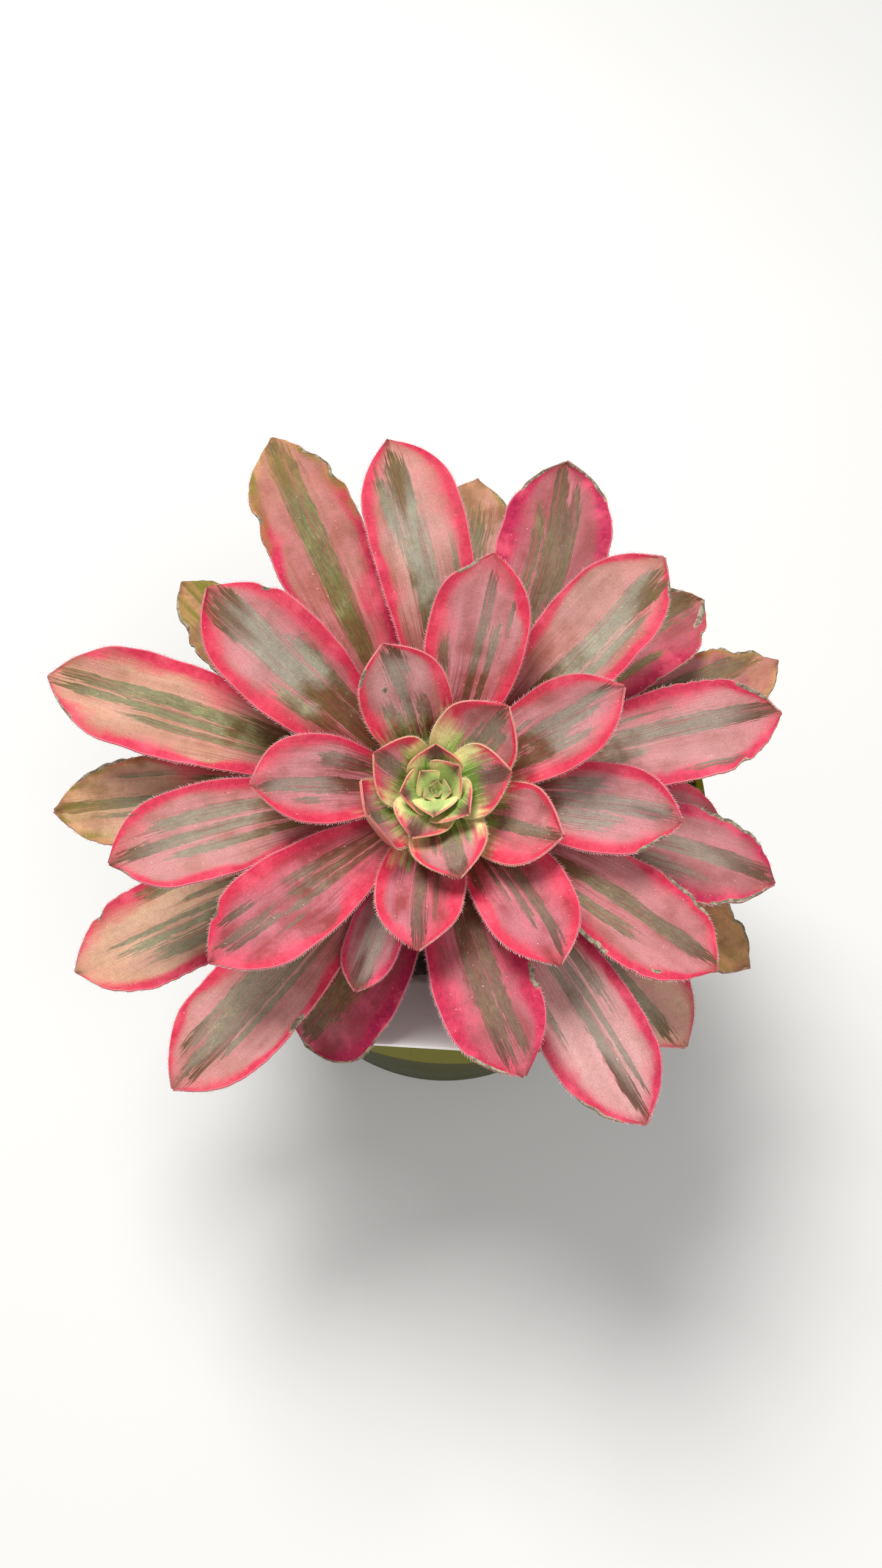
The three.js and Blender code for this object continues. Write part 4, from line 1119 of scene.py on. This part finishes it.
class LeafSkin(Finish):
    """The leaves' finish: pink margins, a banded middle, and green bases on the young leaves."""

    def __init__(self):
        super().__init__("leaf_skin", Specular_IOR_Level=0.22, Subsurface_Weight=0.06, IOR=1.4)
        self.shader.inputs["Subsurface Radius"].default_value = (0.0016, 0.0006, 0.0005)
        self.along, flat, _ = self.split(self.node("ShaderNodeUVMap", {"uv_map": "blade"}))
        self.seed = self.attribute("seed")
        self.edge = (flat * 2 - 1).size()
        where = self.place()
        self.across = self.attribute("across") + (self.noise(where, 70, 1) - 0.5) * 0.06
        self.clouds = self.noise(where, 120, 3)
        self.mottle = self.noise(where, 620, 3, 0.6)
        self.specks = self.noise(where, 1500, 1)
        self.grain = self.noise(where, 3300, 2, 0.7)
        self.broad = self.streaks(5, 2.6, 1.0)
        self.fine = self.streaks(17, 2.2, 5.0)
        self.finest = self.streaks(52, 3.0, 9.0)
        self.threads = self.streaks(64, 26, 14.0)
        self.striped = self.stripes()
        self.bloom_and_sheen = self.bloom_and_painted_sheen()
        self.dried = self.dryness()
        self.corky = (self.attribute("cork") + (self.mottle - 0.5) * 1.2).over(0.46, 0.6)
        self.hair = self.attribute("hair")
        self.finish_colour()
        self.finish_surface()

    def streaks(self, count, stretch, shift):
        """Noise drawn out along the blade: count streaks across it."""
        across = self.across * count + self.seed * 3.1
        return self.noise(self.join(across, self.along * stretch + self.seed * 1.7, shift), 1, 1)

    def stripes(self):
        """1 in the dark stripes: feathered at their sides and ends, and fine by the stem."""
        low = self.along.over(0.5, 0.1)
        field = self.attribute("band") - 0.48 + (self.broad - 0.5) * 0.6
        field = field + (self.fine - 0.5) * (1.2 + low * 1.8) + (self.finest - 0.5) * (0.9 + low * 1.6)
        field = field + (self.threads - 0.5) * 0.8
        pins = (self.finest + (self.fine - 0.5) * 0.4).over(0.58, 0.66)
        return field.over(-0.1, 0.16) * (1 - pins * 0.75)

    def bloom_and_painted_sheen(self):
        """The silver-grey bloom on the middle of the blade: partly the leaf's real bloom, partly painted
        sheen of the light from behind.
        """
        starts = (self.along + (self.clouds - 0.5) * 0.5).over(0.42, 0.64)
        ends = (self.along + (self.broad - 0.5) * 0.5).over(0.98, 0.8)
        return starts * ends * self.attribute("silver") * (1 - self.attribute("rose") * 0.85)

    def dryness(self):
        """1 where an old leaf has dried, from its tip and its margins inwards."""
        dry = self.attribute("dry")
        outer = self.along.over(0.55, 1.0) * 0.5 + self.edge.over(0.6, 1.0) * 0.3
        return (dry * 1.15 + outer * dry.over(0.0, 0.2) + (self.clouds - 0.5) * 0.9 - 0.4).over(0.1, 0.5)

    def pink(self):
        """The ground: hot pink at the margins, dusty pink inside, brownish by the stem."""
        deep = self.attribute("deep")
        hot = self.mix(deep, paint(224, 60, 84), paint(184, 38, 80))
        hotter = self.mix(deep, paint(192, 38, 62), paint(140, 20, 56))
        hot = self.mix(self.mottle.over(0.38, 0.64) * 0.7, hot, hotter)
        hot = self.mix(self.clouds.over(0.48, 0.7) * 0.55, hot, paint(232, 98, 116))
        inner = self.mix(self.clouds.over(0.36, 0.62), paint(154, 58, 60), paint(194, 104, 114))
        inner = self.mix(self.mottle.over(0.45, 0.62) * 0.4, inner, paint(132, 54, 52))
        inner = self.mix(self.broad.over(0.42, 0.66) * 0.5, inner, paint(208, 130, 142))
        inner = self.mix(deep * 0.5, inner, paint(128, 50, 62))
        faded = self.attribute("pale") * self.along.over(0.15, 0.55) * (self.broad + 0.2)
        cream = self.mix(self.attribute("olive"), paint(214, 160, 160), paint(206, 174, 132))
        inner = self.mix(faded, inner, cream)
        inner = self.mix(self.along.over(0.45, 0.08) * 0.75, inner, paint(138, 70, 50))
        lines = self.along.over(0.8, 0.35) * 0.5 + self.attribute("band") * 0.5
        inner = self.mix(self.finest.over(0.46, 0.64) * lines, inner, paint(124, 54, 52))
        heat = self.attribute("rose") * (0.55 + self.edge.over(0.6, 0.98) * 0.6)
        heat = heat + (self.broad - 0.5) * 1.1 + (self.clouds - 0.5)
        heat = (heat + (self.threads - 0.5) * 0.3 - self.along.over(0.3, 0.0) * 0.3).over(0.1, 1.0)
        return self.mix(heat, inner, hot)

    def stripe_colour(self):
        """Brown by the stem. Further out it is brown or olive green, as the leaf's olive says."""
        olive = self.attribute("olive")
        low = self.mix(olive, paint(92, 50, 28), paint(98, 72, 28))
        middle = self.mix(olive, paint(112, 78, 60), paint(106, 110, 52))
        middle = self.mix(self.clouds.over(0.5, 0.66) * olive * 0.6, middle, paint(142, 150, 86))
        high = self.mix(olive, paint(88, 56, 50), paint(102, 94, 46))
        colour = self.mix((self.along + (self.clouds - 0.5) * 0.6).over(0.28, 0.6), low, middle)
        colour = self.mix((self.along + (self.broad - 0.5) * 0.6).over(0.74, 0.96), colour, high)
        return self.mix(self.threads.over(0.42, 0.62) * 0.5, colour, paint(82, 56, 40))

    def greened(self, colour):
        """Young leaves: green with cream margins, then flushed pink, and dusky at the tip."""
        youth = self.attribute("youth")
        reached = youth * 1.08 - self.along + (self.fine - 0.5) * 0.4 + (self.clouds - 0.5) * 0.4
        reached = (reached + self.edge * 0.06).over(-0.12, 0.2)
        fresh = self.mix(self.finest.over(0.3, 0.7), paint(172, 198, 108), paint(112, 156, 62))
        fresh = self.mix(self.striped * 0.6, fresh, paint(92, 118, 44))
        fresh = self.mix(youth.over(0.7, 0.95) * 0.5, fresh, paint(214, 226, 156))
        creamy = (self.edge + (self.clouds - 0.5) * 0.5).over(0.38, 0.85)
        fresh = self.mix(creamy, fresh, paint(232, 226, 156))
        colour = self.mix(reached, colour, fresh)
        tender = youth.over(0.48, 0.66) * (1 - youth.over(0.86, 1.0) * 0.75)
        flush = self.edge * 0.7 + self.along * 0.8 + (self.mottle - 0.5) * 0.5
        colour = self.mix(flush.over(1.08, 1.42) * tender * 0.9, colour, paint(228, 82, 96))
        dusk = self.along - self.edge * 0.5 + (self.fine - 0.5) * 0.5 - youth.over(0.6, 0.9) * 0.16
        return self.mix(dusk.over(0.5, 0.76) * tender * 0.75, colour, paint(104, 62, 58))

    def weathered(self, colour):
        """Old leaves dry to tan, olive and brown. Scars are grey-brown cork with a tan rim."""
        dull = self.streaks(9, 2.0, 13.0).over(0.4, 0.62) * (0.3 + self.attribute("olive") * 0.7)
        tan = self.mix(dull, paint(184, 138, 92), paint(124, 118, 38))
        tan = self.mix(self.clouds.over(0.46, 0.64) * 0.6, tan, paint(122, 80, 58))
        colour = self.mix(self.dried * 0.85, colour, tan)
        rim = (self.attribute("cork") + (self.mottle - 0.5) * 1.2).over(0.36, 0.46)
        colour = self.mix(rim * 0.7, colour, paint(196, 160, 128))
        scar = self.mix(self.mottle.over(0.4, 0.6), paint(102, 98, 82), paint(160, 150, 128))
        return self.mix(self.corky * 0.92, colour, scar)

    def finish_colour(self):
        """Stripes on pink, the bloom with its painted sheen, the young leaves' green, pale hems, age,
        specks, hairs, and painted shade towards the stem.
        """
        youth = self.attribute("youth")
        colour = self.mix(self.striped * 0.92, self.pink(), self.stripe_colour())
        # Silver-grey mix: partly the real bloom, partly a painted sheen of the light on the mid-blade.
        silvered = self.bloom_and_sheen * (0.14 + self.striped * 0.24)
        colour = self.mix(silvered, colour, paint(206, 203, 194))
        colour = self.greened(colour)
        fading = youth.over(0.2, 0.6) * self.along.over(0.92, 0.6) + youth.over(0.86, 1.0) * 0.6
        hem = self.mix(fading, paint(244, 150, 158), paint(246, 236, 178))
        colour = self.mix(self.edge.over(0.972, 0.998) * 0.5, colour, hem)
        colour = self.weathered(colour)
        colour = self.mix(self.attribute("tip") * 0.5, colour, paint(120, 74, 60))
        colour = self.mix(self.specks.over(0.74, 0.8) * 0.5, colour, paint(112, 34, 44))
        colour = self.mix(self.specks.over(0.25, 0.2) * 0.5, colour, paint(244, 214, 208))
        back = self.mix(youth.over(0.3, 0.6), paint(196, 122, 122), paint(222, 186, 130))
        colour = self.mix(self.attribute("under") * 0.55, colour, back)
        bristle = self.mix(youth.over(0.0, 0.6), paint(248, 200, 202), paint(248, 232, 206))
        bristle = self.mix(self.attribute("dry"), bristle, paint(196, 160, 128))
        colour = self.mix(self.hair, colour, bristle)
        # Grain and mottle, and painted shade: the colour is darkened towards the stem, where the leaves
        # shade each other.
        level = 1 + (self.grain - 0.5) * 0.9 + (self.mottle - 0.5) * 0.45 - self.along.over(0.3, 0.0) * 0.3
        values = {0: colour, 1: self.join(level, level, level)}
        self.feed("Base Color", self.node("ShaderNodeVectorMath", {"operation": "MULTIPLY"}, values))

    def finish_surface(self):
        """A soft sheen, glossier where silvery and duller on cork, over fine streaks and grain."""
        rough = 0.58 - self.bloom_and_sheen * 0.1 + self.corky * 0.25 + self.dried * 0.1
        self.feed("Roughness", rough + (self.grain - 0.5) * 0.2)
        relief = self.grain * 0.3 + self.mottle * 0.3 + self.fine * 0.35 + self.finest * 0.35
        relief = relief + self.corky * self.mottle * 1.2 - self.striped * 0.1
        self.bump(relief * (1 - self.hair), 0.00024)


skin_finish = LeafSkin().material
bristle_shape = hair_shape()
for n in GROWTH:
    leaf = Leaf(n)
    hairs = margin_hairs(leaf, bristle_shape)
    piece = blade(leaf)
    mark_blade(leaf, piece.data)
    if n < HEART_LEAVES:
        piece.name = f"heart_leaf_{n - min(GROWTH):02d}"
        node, slot = "rosette_heart", "young_leaf"
    else:
        piece.name = f"leaf_blade_{n:02d}"
        node, slot = f"leaf_{n:02d}", "leaf" if n < AGED else "aged_leaf"
    bpy.ops.object.select_all(action="DESELECT")
    hairs.select_set(True)
    piece.select_set(True)
    bpy.context.view_layer.objects.active = piece
    bpy.ops.object.join()
    finished(piece, skin_finish, node)

# ---------------------------------------------------------------------------------------------
# Growing tip: the soft green bud over the stem's end, with the youngest leaves rooted in it. It
# is turned, and the smallest leaves close over it.

BUD_RADIUS = 0.0026
BUD_HEIGHT = 0.0034
BUD_GAP = 0.00035
BUD_POINT = 0.0002
BUD_SIDES = 24


def growing_tip():
    """Turned from just above the stem's end up to the bud's point, then tilted with the stem."""
    low = -STEM_TOP + BUD_GAP
    profile = [
        (BUD_POINT, low),
        (STEM_TOP_RADIUS - 2 * MARGIN_THICKNESS, low),
        (STEM_TOP_RADIUS, -STEM_TOP / 2),
        (BUD_RADIUS, BUD_HEIGHT / 4),
        (BUD_RADIUS / 2, BUD_HEIGHT * 0.8),
        (BUD_POINT, BUD_HEIGHT),
    ]
    bud = turned("growing_tip", profile, BUD_SIDES)
    bud.data.transform(stem_frame(0))
    return smoothed(bud, 50)


def bud_green():
    """Pale green and cream, with a downy sheen."""
    bud = Finish("bud_green", Roughness=0.6, Sheen_Weight=0.3)
    spots = bud.noise(bud.place(), 900, 3)
    bud.feed("Base Color", bud.mix(spots, paint(150, 170, 90), paint(206, 208, 140)))
    bud.bump(spots, 0.0002)
    return bud.material


finished(growing_tip(), bud_green(), "rosette_heart")

# ---------------------------------------------------------------------------------------------
# Plant label: a blank sheet of stiff white plastic with round corners and a spike. It is pushed
# into the soil and leans out over the rim.

LABEL_WIDTH = 0.035
LABEL_LENGTH = 0.082
LABEL_THICKNESS = 0.0008
LABEL_CORNER = 0.003
CORNER_STEPS = 6
LABEL_SPIKE_WIDTH = 0.009
LABEL_SPIKE_LENGTH = 0.034
LABEL_SHOULDER = 0.006
LABEL_POINT = 0.0002
LABEL_SOFT_EDGE = 0.00018
LABEL_LEAN = math.radians(52)
LABEL_TIP = Vector((-0.008, -0.0875, 0.123))
LABEL_TURN = math.radians(-1)


def plant_label():
    """Extruded row by row from its free end to its point, then made a sheet with soft edges."""
    neck = LABEL_LENGTH - LABEL_SPIKE_LENGTH
    half = LABEL_WIDTH / 2
    spike = LABEL_SPIKE_WIDTH / 2
    rows = []
    for i in range(CORNER_STEPS + 1):
        angle = math.pi / 2 * i / CORNER_STEPS
        rows.append((half - LABEL_CORNER * (1 - math.sin(angle)), -LABEL_CORNER * (1 - math.cos(angle))))
    rows += [(half, -neck + LABEL_SHOULDER), (spike, -neck - LABEL_SHOULDER)]
    rows += [(spike, -LABEL_LENGTH + LABEL_SHOULDER), (LABEL_POINT, -LABEL_LENGTH)]
    width, y = rows[0]
    bpy.ops.mesh.primitive_plane_add(size=2, location=(0, 0, 0))
    label = bpy.context.object
    label.name = "blank_label"
    bpy.ops.object.mode_set(mode="EDIT")
    bpy.ops.mesh.select_all(action="SELECT")
    bpy.ops.transform.resize(value=(width, 0, 1), center_override=(0, 0, 0))
    bpy.ops.mesh.remove_doubles(threshold=SAME_PLACE)
    for next_width, next_y in rows[1:]:
        bpy.ops.mesh.extrude_region_move(TRANSFORM_OT_translate={"value": (0, next_y - y, 0)})
        grown = next_width / width
        bpy.ops.transform.resize(value=(grown, 1, 1), center_override=(0, next_y, 0))
        width, y = next_width, next_y
    bpy.ops.object.mode_set(mode="OBJECT")
    sheet = label.modifiers.new("sheet", "SOLIDIFY")
    sheet.thickness = LABEL_THICKNESS
    sheet.offset = 0
    bpy.ops.object.modifier_apply(modifier=sheet.name)
    soft = label.modifiers.new("soft edges", "BEVEL")
    soft.width = LABEL_SOFT_EDGE
    soft.segments = 2
    bpy.ops.object.modifier_apply(modifier=soft.name)
    stand = Matrix.Rotation(LABEL_TURN, 4, "Z") @ Matrix.Rotation(math.pi / 2 + LABEL_LEAN, 4, "X")
    label.data.transform(Matrix.Translation(LABEL_TIP) @ stand)
    bpy.ops.object.mode_set(mode="EDIT")
    bpy.ops.mesh.select_all(action="SELECT")
    bpy.ops.mesh.normals_make_consistent(inside=False)
    bpy.ops.object.mode_set(mode="OBJECT")
    return smoothed(label, 35)


def white_plastic():
    """Warm white and a little glossy, soiled where it goes into the soil."""
    card = Finish("white_plastic", IOR=1.46)
    where = card.place()
    smudge = card.noise(where, 90, 3)
    fine = card.noise(where, 1600, 2)
    _, _, height = card.split(where)
    soiled = ((height - SOIL_LEVEL) * 60 + (smudge - 0.5) * 1.2).over(0.5, 0.0)
    white = card.mix(smudge, paint(246, 243, 240), paint(238, 230, 226))
    card.feed("Base Color", card.mix(soiled * 0.7, white, paint(110, 90, 72)))
    card.feed("Roughness", 0.3 + smudge * 0.2)
    card.bump(fine * 0.3 + smudge, 0.0001)
    return card.material


finished(plant_label(), white_plastic(), "plant_label")

# ---------------------------------------------------------------------------------------------
# Studio: a plain pale floor, a big soft light over the plant from behind, a fill from the front.

FLOOR_SIZE = 6
ROOM_LIGHT = 0.3


def pale_floor():
    bpy.ops.mesh.primitive_plane_add(size=FLOOR_SIZE, location=(0, 0, 0))
    floor = bpy.context.object
    floor.name = "floor"
    card = Finish("floor_card", Roughness=0.85)
    shade = card.noise(card.place(), 3, 2)
    card.feed("Base Color", card.mix(shade, paint(214, 213, 210), paint(222, 221, 218)))
    floor.data.materials.append(card.material)


def soft_light(name, spot, aim, size, power):
    """A round area light at spot that shines at aim."""
    bpy.ops.object.light_add(type="AREA", location=spot)
    lamp = bpy.context.object
    lamp.name = name
    lamp.data.shape = "DISK"
    lamp.data.size = size
    lamp.data.energy = power
    lamp.rotation_euler = (Vector(aim) - Vector(spot)).to_track_quat("-Z", "Y").to_euler()


pale_floor()
soft_light("window", spot=(-0.4, 0.6, 1.5), aim=(0, 0, 0.13), size=0.8, power=29.5)
soft_light("fill", spot=(0.5, -0.9, 1.3), aim=(0, 0, 0.1), size=1.2, power=11)
world = bpy.data.worlds.new("room")
bpy.context.scene.world = world
world.use_nodes = True
room = world.node_tree.nodes["Background"].inputs
room["Color"].default_value = paint(240, 242, 246)
room["Strength"].default_value = ROOM_LIGHT
bpy.context.scene.view_settings.view_transform = "Standard"
